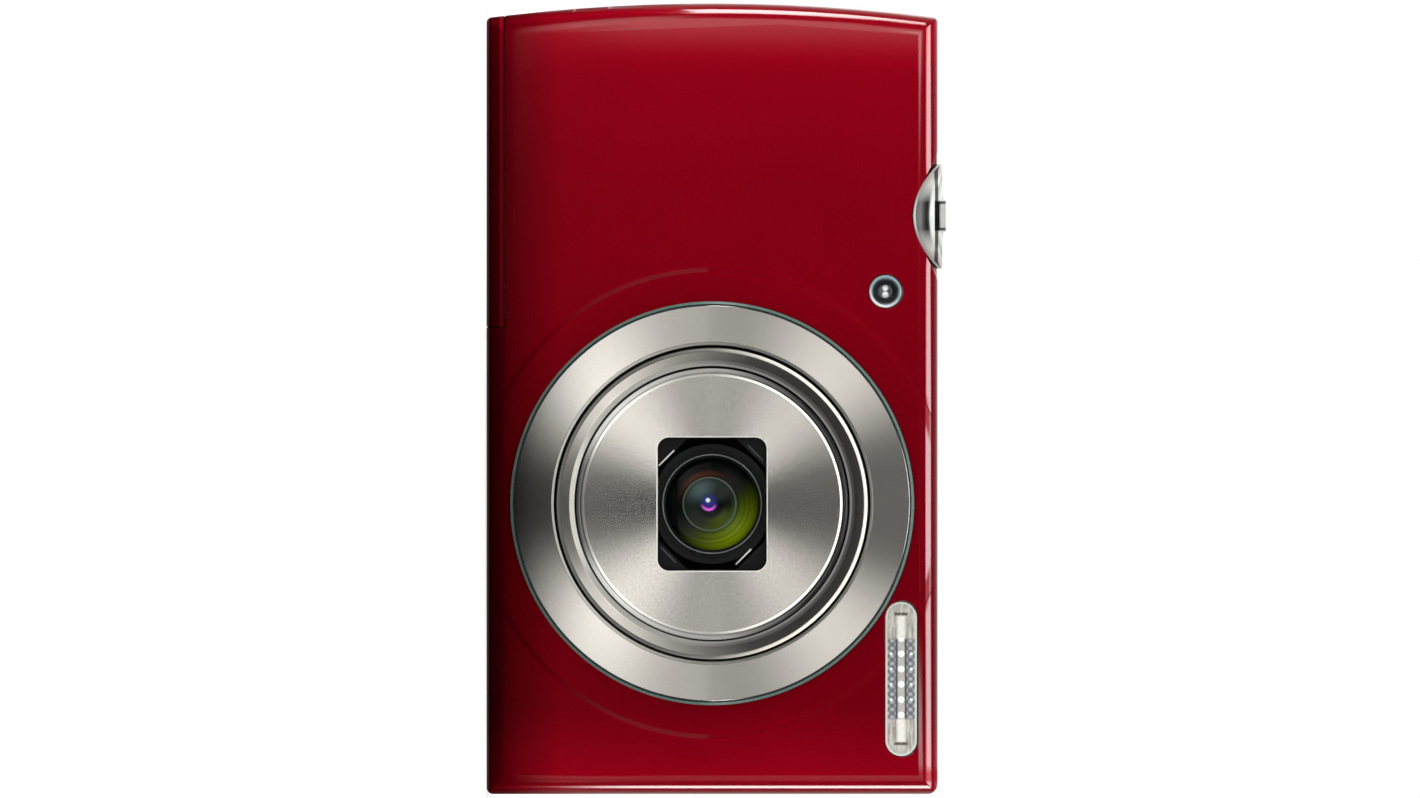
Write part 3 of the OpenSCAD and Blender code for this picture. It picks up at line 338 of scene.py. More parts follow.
# %% Glows of the dark room
def glow_round_lens(tree, bright, mid, dark, rise, fade, rest):
    """Four bright corners round the lens axis, dimmer sides, dark above, below and straight ahead.

    The light comes up over rise and falls to a rest over fade, both in degrees off the axis."""
    point = surface_point(tree, lens_axis)
    part = split(tree, vector(tree, "NORMALIZE", vector(tree, "MULTIPLY", point, (1, 0, 1))))
    corner = calc(tree, "ABSOLUTE", times(tree, part["X"], part["Z"]))
    corner = calc(tree, "POWER", times(tree, corner, 2), 3)
    side = calc(tree, "POWER", calc(tree, "ABSOLUTE", part["X"]), 3)
    light = calc(tree, "MULTIPLY_ADD", corner, bright, times(tree, side, mid))
    light = calc(tree, "ADD", light, dark)
    ahead = split(tree, vector(tree, "NORMALIZE", point))["Y"]
    for degrees, low, high in ((rise, 0, 1), (fade, 1, rest)):
        start, end = [-math.cos(math.radians(angle)) for angle in degrees]
        light = times(tree, light, spread(tree, ahead, low, high, start, end, "SMOOTHSTEP"))
    return light


def glow_behind(tree, start, end, gain):
    """Light that grows toward the rear of the room, between two distances in millimetres."""
    return spread(tree, split(tree, surface_point(tree))["Y"], 0, gain, start, end)


def glow_toward(tree, direction, reach, soft, gain):
    """A soft patch of light on the shell, about a direction, reach and soft in degrees."""
    outward = vector(tree, "NORMALIZE", add_node(tree, "TexCoord").outputs["Object"])
    facing = vector(tree, "DOT_PRODUCT", outward, Vector(direction).normalized())
    start, end = [math.cos(math.radians(angle)) for angle in (reach + soft, reach)]
    return spread(tree, facing, 0, gain, start, end, "SMOOTHSTEP")


def glowing(name, *patterns):
    """An emission finish whose strength is the sum of several patterns."""
    finish, tree, _ = new_finish(name)
    tree.nodes.clear()
    parts = [pattern(tree, *values) for pattern, *values in patterns]
    total = parts[0]
    for part in parts[1:]:
        total = calc(tree, "ADD", total, part)
    glow = add_node(tree, "Emission", {"Color": (1, 0.985, 0.96), "Strength": total})
    add_node(tree, "OutputMaterial", {"Surface": glow.outputs["Emission"]})
    return finish


print("glows are ready")

# %% Dark room and table cloth, seen only in reflections
room_radius = 2.2
room_foot = -0.2
cloth_height = 0.3 * MM


def room_piece(name, shape, finish):
    thing = mesh_object(name, shape, finish)
    for rays in ("camera", "diffuse", "shadow", "transmission"):
        setattr(thing, "visible_" + rays, False)


shell_finish = glowing(
    "room_dark",
    (glow_round_lens, 2.0, 0.95, 0.01, (4, 9), (25, 40), 0.03),
    (glow_toward, (0, -0.39, 0.92), 8, 11, 6.0),
    (glow_toward, (0.98, -0.19, 0), 3, 9, 11.0),
    (glow_toward, (-0.98, -0.19, 0), 3, 9, 11.0),
    (glow_toward, (-0.5, 1.0, 0.5), 10, 18, 1.2),
    (glow_behind, 300, 1800, 0.5),
)
shape = bmesh.new()
bmesh.ops.create_uvsphere(shape, u_segments=48, v_segments=24, radius=room_radius)
below = [v for v in shape.verts if v.co.z < room_foot]
bmesh.ops.delete(shape, geom=below, context="VERTS")
room_piece("room_shell", shape, shell_finish)

cloth_finish = glowing(
    "table_cloth",
    (glow_round_lens, 1.95, 0.85, 0.14, (10, 15), (36, 60), 0.0),
    (glow_behind, 30, 260, 0.3),
)
shape = bmesh.new()
bmesh.ops.create_grid(shape, x_segments=1, y_segments=1, size=room_radius)
bmesh.ops.translate(shape, verts=shape.verts, vec=(0, 0, cloth_height))
room_piece("table_cloth", shape, cloth_finish)
print("room shell and table cloth are set")

# %% [markdown]
# Four soft lamps light the paint and the plastics. Reflections don't see them: what metal mirrors is
# the room alone, so the two can be set apart from each other.

# %% Lamps at a plain level
lamp_aim = Vector((0, 0, 27 * MM))


def soft_lamp(name, place, size, power):
    data = bpy.data.lights.new(name, "AREA")
    data.shape = "RECTANGLE"
    data.size, data.size_y = size
    data.energy = power
    lamp = new_object(name, data)
    lamp.location = place
    lamp.rotation_mode = "QUATERNION"
    lamp.rotation_quaternion = (lamp_aim - Vector(place)).to_track_quat("-Z", "Y")
    lamp.visible_camera = False
    lamp.visible_glossy = False


soft_lamp("lamp_left", (-0.42, -0.45, 0.33), (0.3, 0.3), 1.9)
soft_lamp("lamp_right", (0.48, -0.52, 0.36), (0.3, 0.3), 1.5)
soft_lamp("lamp_top", (0, -0.12, 0.75), (0.8, 0.25), 2.0)
soft_lamp("lamp_rear", (-0.4, 0.75, 0.5), (0.5, 0.5), 4.0)

# %% [markdown]
# ## Red paint
# The covers are painted sheet and moulded plastic: a dark red base with fine metal flakes under a
# clear coat. The flakes blur what they mirror, and the coat on top stays sharp. So the base is
# partly metallic, fairly rough and a trace uneven, and the coat is smooth, with a slight crown at the
# bowed end. The base colour carries painted light: a sheen toward both ends and shade toward the base.

# %% Mix the red paint
# Painted sheen: the paint is lighter toward both ends, most at the bowed end.
painted_sheen_tones = [(-half_width, 1.0), (-43, 0.8), (-39, 0.64), (-30, 0.56), (-12, 0.52), (5, 0.46), (30, 0.42),
               (37, 0.42), (42, 0.6), (half_width, 0.78)]
# Painted shade: the paint darkens toward the base between these heights.
shaded_base = (1.6, 9.0)
coated_from = (3.0, 11.0)
far_edge = (43, 48)
far_edge_coat = [(0.2, 1), (0.4, 0.25), (0.58, 0.25), (0.66, 1)]
bowed_end = (-38, -48)
step_radii = (27.5, 28.6)
cover_y = low_high("front_cover")[0][1]
step_depth = (cover_y + 0.4, cover_y + 0.7)
# A painted highlight on the battery door's rolled lip, between these heights.
door_lip_highlight = (1.66, 1.86)
lip_highlight_fade, lip_highlight_gain = 0.12, 0.6
flakes_per_mm = 14
crown_depth = 0.0028


def red_paint(name, shade, lip=None):
    """Flake paint with a painted sheen toward both ends and painted shade toward the base.

    The coat is thin near the base, on the far edge and on the low step round the lens.
    A lip, from one height to another, is a rolled edge with a painted highlight."""
    finish, tree, shader = new_finish(name)
    point = surface_point(tree)
    part = split(tree, point)
    # Painted sheen toward the ends and painted shade toward the base; a lip adds a painted highlight.
    along = levels(tree, spread(tree, part["X"], 0, 1, -half_width, half_width),
                   [((x / half_width + 1) / 2, tone) for x, tone in painted_sheen_tones])
    up = spread(tree, part["Z"], 0.36, 1, *shaded_base)
    if lip:
        up = calc(tree, "MULTIPLY_ADD", band_mask(tree, part["Z"], *lip, lip_highlight_fade), lip_highlight_gain, up)
    cloud = noise(tree, surface_point(tree, stretch=(0.05, 0.05, 0.05)), 1.0, 1.0)
    level = times(tree, along, up)
    colour = add_node(tree, "VectorMath", {0: mottled(tree, cloud, shade, 0.9), "Scale": level},
                      operation="SCALE").outputs["Vector"]
    flake = add_node(tree, "TexVoronoi", {"Vector": point, "Scale": flakes_per_mm}).outputs["Distance"]

    from_axis, _, _ = flat_distance(tree, lens_axis)
    on_front = spread(tree, part["Y"], 1, 0, *step_depth)
    step = times(tree, band_mask(tree, from_axis, *step_radii, 0.4), on_front)
    coat = spread(tree, part["Z"], 0, 1, *coated_from)
    edge_coat = levels(tree, spread(tree, part["X"], 0, 1, *far_edge), far_edge_coat)
    coat = times(tree, coat, edge_coat)
    coat = times(tree, coat, spread(tree, step, 1, 0.15, 0, 1))
    bow = calc(tree, "POWER", spread(tree, part["X"], 0, 10, *bowed_end), 2)
    crown = add_node(tree, "Bump", {"Height": bow, "Distance": crown_depth * MM}, invert=True)
    feed(tree, shader, {
        "Base Color": colour, "Metallic": 0.5, "Specular IOR Level": 0,
        "Roughness": spread(tree, flake, 0.36, 0.5, 0.0, 0.6),
        "Coat Weight": coat, "Coat Roughness": 0.05, "Coat IOR": 1.75, "Coat Normal": crown.outputs["Normal"],
    })
    bumped(tree, shader, noise(tree, point, 2.2), 0.06, 0.01)
    return finish


paint_red = red_paint("paint_red", (0.44, 0.001, 0.014))
plastic_red = red_paint("plastic_red", (0.42, 0.001, 0.013))
door_red = red_paint("door_red", (0.44, 0.001, 0.014), door_lip_highlight)
print("red paints are mixed")

# %% [markdown]
# ## Bare metals
# The ring and the lens face are turned on a lathe with a fine cutter, so light smears out across the
# turning marks and makes bright fans. That is anisotropy: the finish is rougher along one direction.
# The direction is worked out from the point's place round the lens axis. The chrome of the shutter
# button is the opposite, almost a mirror. Small parts carry a satin plating.

# %% Turned and plated metal
def turned_metal(name, shade, rough, smear, marks, grain, reflection_tones=None):
    """A lathe-turned metal. Its tones, from base side to top side, are painted reflection and shade, glowing
    faintly.
    """
    finish, tree, shader = new_finish(name)
    point = surface_point(tree, lens_axis)
    flat = vector(tree, "MULTIPLY", point, (1, 0, 1))
    outward = vector(tree, "NORMALIZE", flat)
    rings = add_node(tree, "TexNoise", {"W": vector(tree, "LENGTH", flat), "Scale": marks, "Detail": 3},
                     noise_dimensions="1D").outputs["Fac"]
    sand = noise(tree, point, 3.2, 3.0, 0.6)
    colour = mottled(tree, sand, shade, 0.91)
    # Painted reflection and shade round the axis, which also glows faintly.
    if reflection_tones:
        upward = spread(tree, split(tree, outward)["Z"], 0, 1, -1, 1)
        colour = toned(tree, upward, [(place, [tone * c for c in shade]) for place, tone in reflection_tones])
        feed(tree, shader, {"Emission Color": colour, "Emission Strength": 0.3})
    feed(tree, shader, {
        "Base Color": colour, "Metallic": 0 if reflection_tones else 1, "Anisotropic": smear, "Tangent": outward,
        "Roughness": spread(tree, sand, rough - grain, rough + grain),
    })
    bumped(tree, shader, calc(tree, "MULTIPLY_ADD", sand, 0.3, rings), 0.05, 0.012)
    return finish


def plated_metal(name, shade, rough, grain_scale, grain, bump, metallic=1.0, marks=None):
    """A plated metal. Marks is a function that gives layers to paint on it."""
    finish, tree, shader = new_finish(name)
    sand = noise(tree, surface_point(tree), grain_scale, 3.0, 0.6)
    colour = layered(tree, mottled(tree, sand, shade, 0.88), marks(tree) if marks else [])
    feed(tree, shader, {
        "Base Color": colour, "Metallic": metallic,
        "Roughness": spread(tree, sand, rough - grain, rough + grain),
    })
    bumped(tree, shader, sand, bump, 0.01)
    return finish


ring_metal = turned_metal("ring_metal", (0.5, 0.485, 0.455), 0.2, 0.95, 7.0, 0.015)
face_metal = turned_metal("face_metal", (0.68, 0.66, 0.62), 0.24, 1.0, 9.0, 0.025)
barrel_metal = turned_metal("barrel_metal", (0.6, 0.575, 0.53), 0.3, 0.3, 5.0, 0.04)
chrome = plated_metal("chrome", (0.8, 0.8, 0.8), 0.07, 0.6, 0.02, 0.02)
satin_plating = ((0.62, 0.61, 0.6), 0.3, 3.0, 0.05, 0.05, 0.45)
key_plating = plated_metal("key_plating", *satin_plating)
plain_steel = plated_metal("plain_steel", (0.5, 0.5, 0.5), 0.32, 1.4, 0.1, 0.08)
socket_brass = plated_metal("socket_brass", (0.62, 0.56, 0.42), 0.28, 2.0, 0.08, 0.08)
flash_mirror = plated_metal("flash_mirror", (0.85, 0.85, 0.85), 0.12, 0.8, 0.04, 0.05)
print("metals:", ring_metal.name, face_metal.name, barrel_metal.name, chrome.name)

# %% [markdown]
# The lips round the lens stand so close together that no part of the room shows in the gaps. Each lip
# carries painted reflection and shade instead, glowing faintly, from 0 at the base side to 1 at the top side.

# %% Lips round the lens
def lip_metal(name, shade, reflection_tones, rough=0.3):
    return turned_metal(name, shade, rough, 0.3, 5.0, 0.03, reflection_tones)


cool_steel = (0.95, 0.94, 0.88)
warm_steel = (0.95, 0.92, 0.86)
# These lip finishes are painted reflection and shade.
mouth_reflection_metal = lip_metal("mouth_reflection_metal", warm_steel,
                        [(0, 0.13), (0.03, 0.3), (0.07, 0.66), (0.15, 0.95), (0.25, 0.74), (0.37, 0.42),
                         (0.5, 0.22), (0.63, 0.08), (0.8, 0.045), (1, 0.04)], 0.34)
lit_above = lip_metal("lit_above", (0.95, 0.9, 0.82),
                      [(0, 0.12), (0.3, 0.1), (0.5, 0.2), (0.68, 0.8), (0.85, 1), (1, 1)])
lit_below = lip_metal("lit_below", cool_steel, [(0, 0.85), (0.2, 0.75), (0.4, 0.45), (0.6, 0.25), (1, 0.2)])
base_glint = [(0, 0.85), (0.02, 0.8), (0.07, 0.45), (0.15, 0.36)]
lit_left = lip_metal("lit_left", cool_steel, base_glint + [(0.25, 0.34), (0.4, 0.3), (0.6, 0.1), (1, 0.04)])
lit_base = lip_metal("lit_base", cool_steel, base_glint + [(0.4, 0.34), (0.6, 0.25), (1, 0.2)])
face_lip_reflection = lip_metal("face_lip_reflection", warm_steel,
                     [(0, 0.16), (0.025, 0.3), (0.07, 0.9), (0.15, 1), (0.25, 0.7), (0.37, 0.4), (0.5, 0.34),
                      (0.68, 0.85), (0.85, 1), (1, 1)])
rim_shade = lip_metal("rim_shade", (0.9, 0.88, 0.84),
                      [(0, 0.05), (0.02, 0.1), (0.07, 0.5), (0.15, 0.6), (0.25, 0.45), (0.4, 0.3),
                       (0.55, 0.25), (0.7, 0.1), (0.85, 0.01), (1, 0.01)])
print("lips:", mouth_reflection_metal.name, face_lip_reflection.name, rim_shade.name)

# %% [markdown]
# ## Plastics, boards and clear glass
# Moulded plastic has a spark-eroded grain that shows as tiny bumps. Circuit boards are woven glass
# under green lacquer, with copper just visible. One helper makes each family.

# %% Plastics, boards and clear glass
def moulded_plastic(name, shade, rough, grain_scale=4.0, bump=0.12, coat=0.0, specular=0.5):
    finish, tree, shader = new_finish(name)
    grain = noise(tree, surface_point(tree), grain_scale, 3.0, 0.55)
    feed(tree, shader, {
        "Base Color": mottled(tree, grain, shade, 0.8), "Specular IOR Level": specular,
        "Roughness": spread(tree, grain, rough - 0.06, rough + 0.06),
        "Coat Weight": coat, "Coat Roughness": 0.03,
    })
    bumped(tree, shader, grain, bump, 0.02)
    return finish


def circuit_board(name, lacquer, copper):
    finish, tree, shader = new_finish(name)
    point = surface_point(tree, spin=(math.radians(90), 0, 0))
    tracks = add_node(tree, "TexBrick", {
        "Vector": point, "Scale": 0.55, "Mortar Size": 0.09, "Mortar Smooth": 0.3,
        "Color1": lacquer, "Color2": [0.8 * c for c in lacquer], "Mortar": copper,
    }).outputs
    feed(tree, shader, {"Base Color": tracks["Color"],
                        "Roughness": spread(tree, noise(tree, point, 3.0), 0.3, 0.45)})
    bumped(tree, shader, tracks["Fac"], 0.2, 0.03)
    return finish


def clear_glass(name, tint, ior):
    finish, tree, shader = new_finish(name)
    haze = noise(tree, surface_point(tree), 0.8)
    feed(tree, shader, {
        "Base Color": mottled(tree, haze, tint, 0.97), "Roughness": spread(tree, haze, 0.02, 0.04),
        "Transmission Weight": 1, "IOR": ior,
    })
    return finish


black_plastic = moulded_plastic("black_plastic", (0.022, 0.022, 0.024), 0.42)
leaf_black = moulded_plastic("leaf_black", (0.016, 0.016, 0.017), 0.36, 6.0, 0.06)
hood_black = moulded_plastic("hood_black", (0.006, 0.0065, 0.007), 0.34, 6.0, 0.05, specular=0.15)
holder_grey = moulded_plastic("holder_grey", (0.09, 0.09, 0.095), 0.45)
battery_grey = moulded_plastic("battery_grey", (0.05, 0.052, 0.055), 0.38, 1.5, 0.08)
card_blue = moulded_plastic("card_blue", (0.03, 0.09, 0.3), 0.35, 2.0, 0.08)
lock_orange = moulded_plastic("lock_orange", (0.75, 0.22, 0.02), 0.4)
sleeve_blue = moulded_plastic("sleeve_blue", (0.012, 0.02, 0.07), 0.3, 1.0, 0.06)
screen_dark = moulded_plastic("screen_dark", (0.012, 0.014, 0.02), 0.16, 0.5, 0.01, 0.6)
sensor_blue = moulded_plastic("sensor_blue", (0.02, 0.035, 0.12), 0.15, 8.0, 0.02, 0.8)
rim_grey = moulded_plastic("rim_grey", (0.2, 0.23, 0.23), 0.25, 3.0, 0.03)
# Painted reflection and shade for the ring: a teal outer rim and a dim groove; the dim finish also shades two
# chamfers.
rim_teal_reflection = moulded_plastic("rim_teal_reflection", (0.12, 0.21, 0.175), 0.25, 4.0, 0.03)
dim_shade = moulded_plastic("dim_shade", (0.035, 0.05, 0.055), 0.3, 4.0, 0.03)
# A near-white finish that paints highlights on narrow edges and chamfers.
painted_highlight = moulded_plastic("painted_highlight", (0.82, 0.8, 0.75), 0.3, 6.0, 0.03)
board_green = circuit_board("board_green", (0.008, 0.1, 0.035), (0.1, 0.2, 0.06))
tube_clear = clear_glass("tube_clear", (0.95, 0.97, 1.0), 1.52)
print("plastics, boards and glass, finishes so far:", len(bpy.data.materials))

# %% [markdown]
# ## Front glass
# A camera lens has many coated faces behind its front glass, and each throws back a tinted arc or spot.
# Those are painted round the axis: a green arc, a violet smile, a brown streak and one small glint.

# %% Paint the front glass
def coated_glass(name):
    finish, tree, shader = new_finish(name)
    centre = (lens_axis[0], 0, lens_axis[2] - 0.3)
    reach, flat, _ = flat_distance(tree, centre)
    core, core_flat, _ = flat_distance(tree, (centre[0] - 0.2, 0, centre[2] - 0.1))
    glint, _, _ = flat_distance(tree, (centre[0] - 0.45, 0, centre[2] - 0.2))
    streak = noise(tree, surface_point(tree, centre, (0.6, 0.6, 0.6), (0, 0.6, 0)), 1.0)

    def ring(low, high, soft, toward=None, narrow=1.0):
        """A ring, or the part of it toward a direction, which fades as the square of its mask."""
        mask = band_mask(tree, reach, low, high, soft)
        if not toward:
            return mask
        side = toward_mask(tree, flat, toward, narrow)
        return (mask, side, side)

    def groove(radius):
        return spread(tree, ring(radius, radius, 0.16), 0, 0.45, 0, 1)

    smile = toward_mask(tree, core_flat, (1, 0), 0.75)
    # Painted reflections: tinted arcs, teal and blue patches, a dark wedge, a violet smile and a white glint;
    # the grooves and the thin ring draw faint rings.
    colour = layered(tree, (0.002, 0.003, 0.003), [
        (ring(0.0, 3.0, 0.1), (0.01, 0.015, 0.012)),
        (ring(1.5, 2.4, 0.9, (-1, -0.6), 0.7), (0.05, 0.08, 0.08)),
        (ring(1.2, 2.3, 0.7, (0.45, 1), 0.5), (0.001, 0.001, 0.003)),
        (ring(4.7, 5.3, 2.2, (0.8, 0.6), 1.05), (0.17, 0.24, 0.003)),
        (ring(2.0, 2.8, 0.5, (0.8, 0.5), 0.6), (0.04, 0.06, 0.003)),
        (ring(3.55, 3.7, 0.5, (-1, -0.45), 0.7), (0.06, 0.017, 0.004)),
        *[(groove(radius), (0.004, 0.005, 0.003)) for radius in (3.45, 4.2, 4.75)],
        (ring(3.1, 3.2, 0.06), (0.07, 0.1, 0.08)),
        (band_mask(tree, core, 0.0, 0.3, 0.9), (0.03, 0.03, 0.2)),
        ((band_mask(tree, core, 0.8, 0.95, 0.14), smile), (0.75, 0.11, 0.75)),
        (band_mask(tree, glint, 0.0, 0.1, 0.25), (0.85, 0.9, 0.8)),
    ])
    feed(tree, shader, {"Base Color": colour, "Roughness": spread(tree, streak, 0.03, 0.1),
                        "Specular IOR Level": 0.06})
    bumped(tree, shader, streak, 0.01, 0.01)
    return finish


lens_glass = coated_glass("lens_glass")
print("front glass:", lens_glass.name)

# %% [markdown]
# ## Lever and lamp
# The lever is a polished bowl. Painted bright and dark bands run round it as reflections of a white room
# and dark gaps, and a painted shadow lies at its tab's foot. Heights are in millimetres from the lever's top.
# The focus lamp is a dark bowl with a painted highlight on its rim and two painted highlight spots.

# %% Paint the lever's bowl
bowl_height = 4.4
# Painted reflection bands: heights from the lever's top and their levels.
bowl_reflection_bands = [(-4.25, 0.3), (-3.75, 0.14), (-3.05, 0.2), (-2.65, 0.06), (-2.3, 0.006), (-2.05, 0.06),
              (-1.85, 0.8), (-1.35, 0.9), (-1.25, 0.5), (-0.75, 0.85)]


def bowl_painted_reflections(name, node):
    finish, tree, shader = new_finish(name)
    part = split(tree, surface_point(tree, (middle_of(node)[0], 0, low_high(node)[1][2])))
    aside = calc(tree, "ABSOLUTE", part["X"])
    square = calc(tree, "POWER", aside, 2)

    def bowed(amount):
        """Height, less a bow that grows away from the bowl's middle."""
        return calc(tree, "MULTIPLY_ADD", square, -amount, part["Z"])

    def within(low_x, high_x, soft):
        return band_mask(tree, aside, low_x, high_x, soft)

    edge = bowed(0.078)
    below_rim = spread(tree, part["Z"], 1, 0, -1.45, -1.25)
    above_rim = spread(tree, part["Z"], 0, 1, -0.85, -0.75)
    sides = spread(tree, aside, 0, 1, 1.6, 4.0)
    stops = [(z / bowl_height + 1, (0.97 * v, v, 0.95 * v)) for z, v in bowl_reflection_bands]
    # All of the bowl's colour is painted reflection and shade: lighter sides, a dark line under the rim, a
    # pale tab with dark edges, a painted shadow at the tab's foot, a painted highlight near the bowl's edge
    # and painted shade where it meets the cover.
    colour = layered(tree, toned(tree, spread(tree, bowed(0.035), 0, 1, -bowl_height, 0), stops), [
        ((sides, below_rim), (0.8, 0.83, 0.78)),
        (band_mask(tree, part["Z"], -1.25, -0.93, 0.08), (0.09, 0.09, 0.085)),
        ((above_rim, within(0, 1.5, 0.1)), (0.5, 0.5, 0.47)),
        ((above_rim, within(1.5, 1.7, 0.15)), (0.07, 0.07, 0.07)),
        ((band_mask(tree, part["Z"], -1.3, -0.75, 0.06), within(0, 1.7, 0.2)), (0.004, 0.004, 0.004)),
        (band_mask(tree, edge, -3.85, -3.67, 0.1), (0.75, 0.84, 0.8)),
        (spread(tree, edge, 1, 0, -3.99, -3.87), (0.006, 0.006, 0.006)),
    ])
    wear = noise(tree, surface_point(tree), 1.2, 3.0)
    feed(tree, shader, {"Base Color": colour, "Metallic": 0.1, "Specular IOR Level": 0.1,
                        "Roughness": spread(tree, wear, 0.2, 0.3)})
    bumped(tree, shader, wear, 0.02, 0.01)
    return finish


# The lever's bowl gets its painted reflections and shade.
lever_painted_chrome = bowl_painted_reflections("lever_painted_chrome", "zoom_lever")
print("lever's bowl:", lever_painted_chrome.name)

# %% Paint the focus lamp
# Two painted highlight spots, each an offset along X and a width in millimetres.
highlight_spots = [(-0.42, 0.22), (0.4, 0.26)]


def lamp_pattern(name, node):
    finish, tree, shader = new_finish(name)
    middle = middle_of(node)
    rim_r = radius_of(node)
    haze = noise(tree, surface_point(tree), 2.5)
    reach, flat, _ = flat_distance(tree, middle)

    def ring(low, high, soft):
        return band_mask(tree, reach, low, high, soft)

    def highlight_spot(offset, wide):
        spot, _, _ = flat_distance(tree, (middle[0] + offset, 0, middle[2]))
        return band_mask(tree, spot, 0, wide, 0.22)

    lit_side = toward_mask(tree, flat, (1, -0.4), 0.9)
    # Painted reflection and highlights: a grey and a dark ring, a teal rim brighter on its lit side, and two
    # highlight spots.
    colour = layered(tree, two_tone(tree, haze, (0.05, 0.055, 0.06), (0.075, 0.08, 0.085)), [
        (ring(0.7, 0.9, 0.25), (0.17, 0.18, 0.19)),
        (ring(1.25, 1.4, 0.12), (0.012, 0.015, 0.02)),
        (ring(rim_r - 0.32, rim_r, 0.1), (0.24, 0.38, 0.4)),
        ((ring(rim_r - 0.25, rim_r, 0.1), lit_side), (0.85, 0.92, 0.92)),
        *[(highlight_spot(*end), (0.95, 0.97, 1.0)) for end in highlight_spots],
    ])
    feed(tree, shader, {"Base Color": colour, "Roughness": spread(tree, haze, 0.12, 0.22),
                        "Coat Weight": 0.3})
    bumped(tree, shader, haze, 0.03, 0.02)
    return finish


lamp_clear = lamp_pattern("lamp_clear", "focus_lamp_rim")
print("focus lamp:", lamp_clear.name)

# %% [markdown]
# ## Flash window
# The flash window is a clear stadium with a bright rim. Small prisms on its back show as painted glints,
# which glow faintly, along the middle and in a fainter row on both sides, and the tube's ends show as two
# pale bars.

# %% Paint the flash window
prism_pitch = 1.84
prism_height = 1.1
prism_shift = 10.5 * prism_pitch + 0.26


def flash_pattern(name, node):
    finish, tree, shader = new_finish(name)
    low, high = low_high(node)
    half_h = (high[2] - low[2]) / 2
    half_l = radius_of(node) - half_h
    edge, _, part = flat_distance(tree, middle_of(node), half_l)
    across = calc(tree, "ABSOLUTE", part["Z"])
    along = calc(tree, "ABSOLUTE", part["X"])
    fold = calc(tree, "PINGPONG", calc(tree, "ADD", part["X"], prism_shift), prism_pitch / 2)

    def wave(axis, length):
        return calc(tree, "COSINE", times(tree, part[axis], 2 * math.pi / length))

    def lane(low, high, soft):
        return band_mask(tree, across, low, high, soft)

    def reach(low, high, soft):
        return band_mask(tree, along, low, high, soft)

    def row_of_spots(from_middle):
        """Distance from the nearest of a row of points, at a place across the window."""
        off = calc(tree, "SUBTRACT", across, from_middle)
        return vector(tree, "LENGTH", add_node(tree, "CombineXYZ", {"X": fold, "Z": off}).outputs[0])

    prisms = times(tree, wave("X", prism_pitch / 2), wave("Z", prism_height))
    cells = spread(tree, prisms, 0, 1, -0.2, 0.7)
    inner = reach(0, 4.6, 0.4)
    # Painted glints: a row of spots along the middle and a fainter row on both sides.
    glint_spots = row_of_spots(0)
    side_glints = band_mask(tree, row_of_spots(1.22), 0, 0.12, 0.12)
    fine = noise(tree, surface_point(tree, middle_of(node), (0.35, 1, 2.6)), 1.6, 3.0)
    colour = layered(tree, two_tone(tree, fine, (0.3, 0.28, 0.25), (0.62, 0.59, 0.53), 0.35, 0.65), [
        ((reach(4.9, 7.4, 0.4), lane(0, 0.3, 0.35)), (0.85, 0.84, 0.78)),
        ((reach(7.7, 7.9, 0.15), lane(0.1, 0.7, 0.2)), (0.1, 0.085, 0.07)),
        ((inner, lane(0.5, 1.8, 0.15)), (0.16, 0.165, 0.175)),
        ((inner, lane(0.7, 1.8, 0.1), cells), (0.42, 0.44, 0.46)),
        ((inner, lane(0.5, 0.58, 0.12)), (0.07, 0.068, 0.07)),
        ((inner, lane(0, 0.3, 0.12)), (0.5, 0.48, 0.46)),
        ((side_glints, reach(0, 3.2, 0.4)), (0.9, 0.93, 0.95)),
        ((band_mask(tree, glint_spots, 0, 0.3, 0.16), inner), (1.0, 1.0, 0.98)),
        (band_mask(tree, edge, half_h - 0.22, half_h, 0.08), (0.6, 0.68, 0.6)),
    ])
    # The middle glints also glow faintly.
    feed(tree, shader, {
        "Base Color": colour, "Roughness": spread(tree, fine, 0.1, 0.25),
        "Emission Strength": band_mask(tree, glint_spots, 0, 0.25, 0.15),
        "Emission Color": layered(tree, (0.0, 0.0, 0.0), [(inner, (0.4, 0.4, 0.38))]),
        "Coat Weight": 0.6, "Coat Roughness": 0.03,
    })
    bumped(tree, shader, prisms, 0.25, 0.1)
    return finish


flash_clear = flash_pattern("flash_clear", "flash_window")
print("flash window:", flash_clear.name)

# %% [markdown]
# ## Screen and pad
# The screen window is a glossy pane, black where its back is printed and a little lighter over the
# display. The pad is plated like the keys, with a short plain mark toward each of its four sides.

# %% Paint the screen window and the pad
screen_border = 2.0
mark_from_rim = 0.9
mark_length = 0.5


def screen_pattern(name, node):
    finish, tree, shader = new_finish(name)
    low, high = low_high(node)
    part = split(tree, surface_point(tree, middle_of(node)))
    masks = []
    for axis, index in (("X", 0), ("Z", 2)):
        half = (high[index] - low[index]) / 2 - screen_border
        masks.append(spread(tree, calc(tree, "ABSOLUTE", part[axis]), 1, 0, half, half + 0.15))
    haze = noise(tree, surface_point(tree), 0.4)
    printed = two_tone(tree, haze, (0.0035, 0.0035, 0.004), (0.005, 0.005, 0.0055))
    feed(tree, shader, {
        "Base Color": layered(tree, printed, [(tuple(masks), (0.022, 0.024, 0.03))]),
        "Roughness": spread(tree, haze, 0.05, 0.12), "Coat Weight": 1, "Coat Roughness": 0.02,
    })
    bumped(tree, shader, haze, 0.01, 0.01)
    return finish


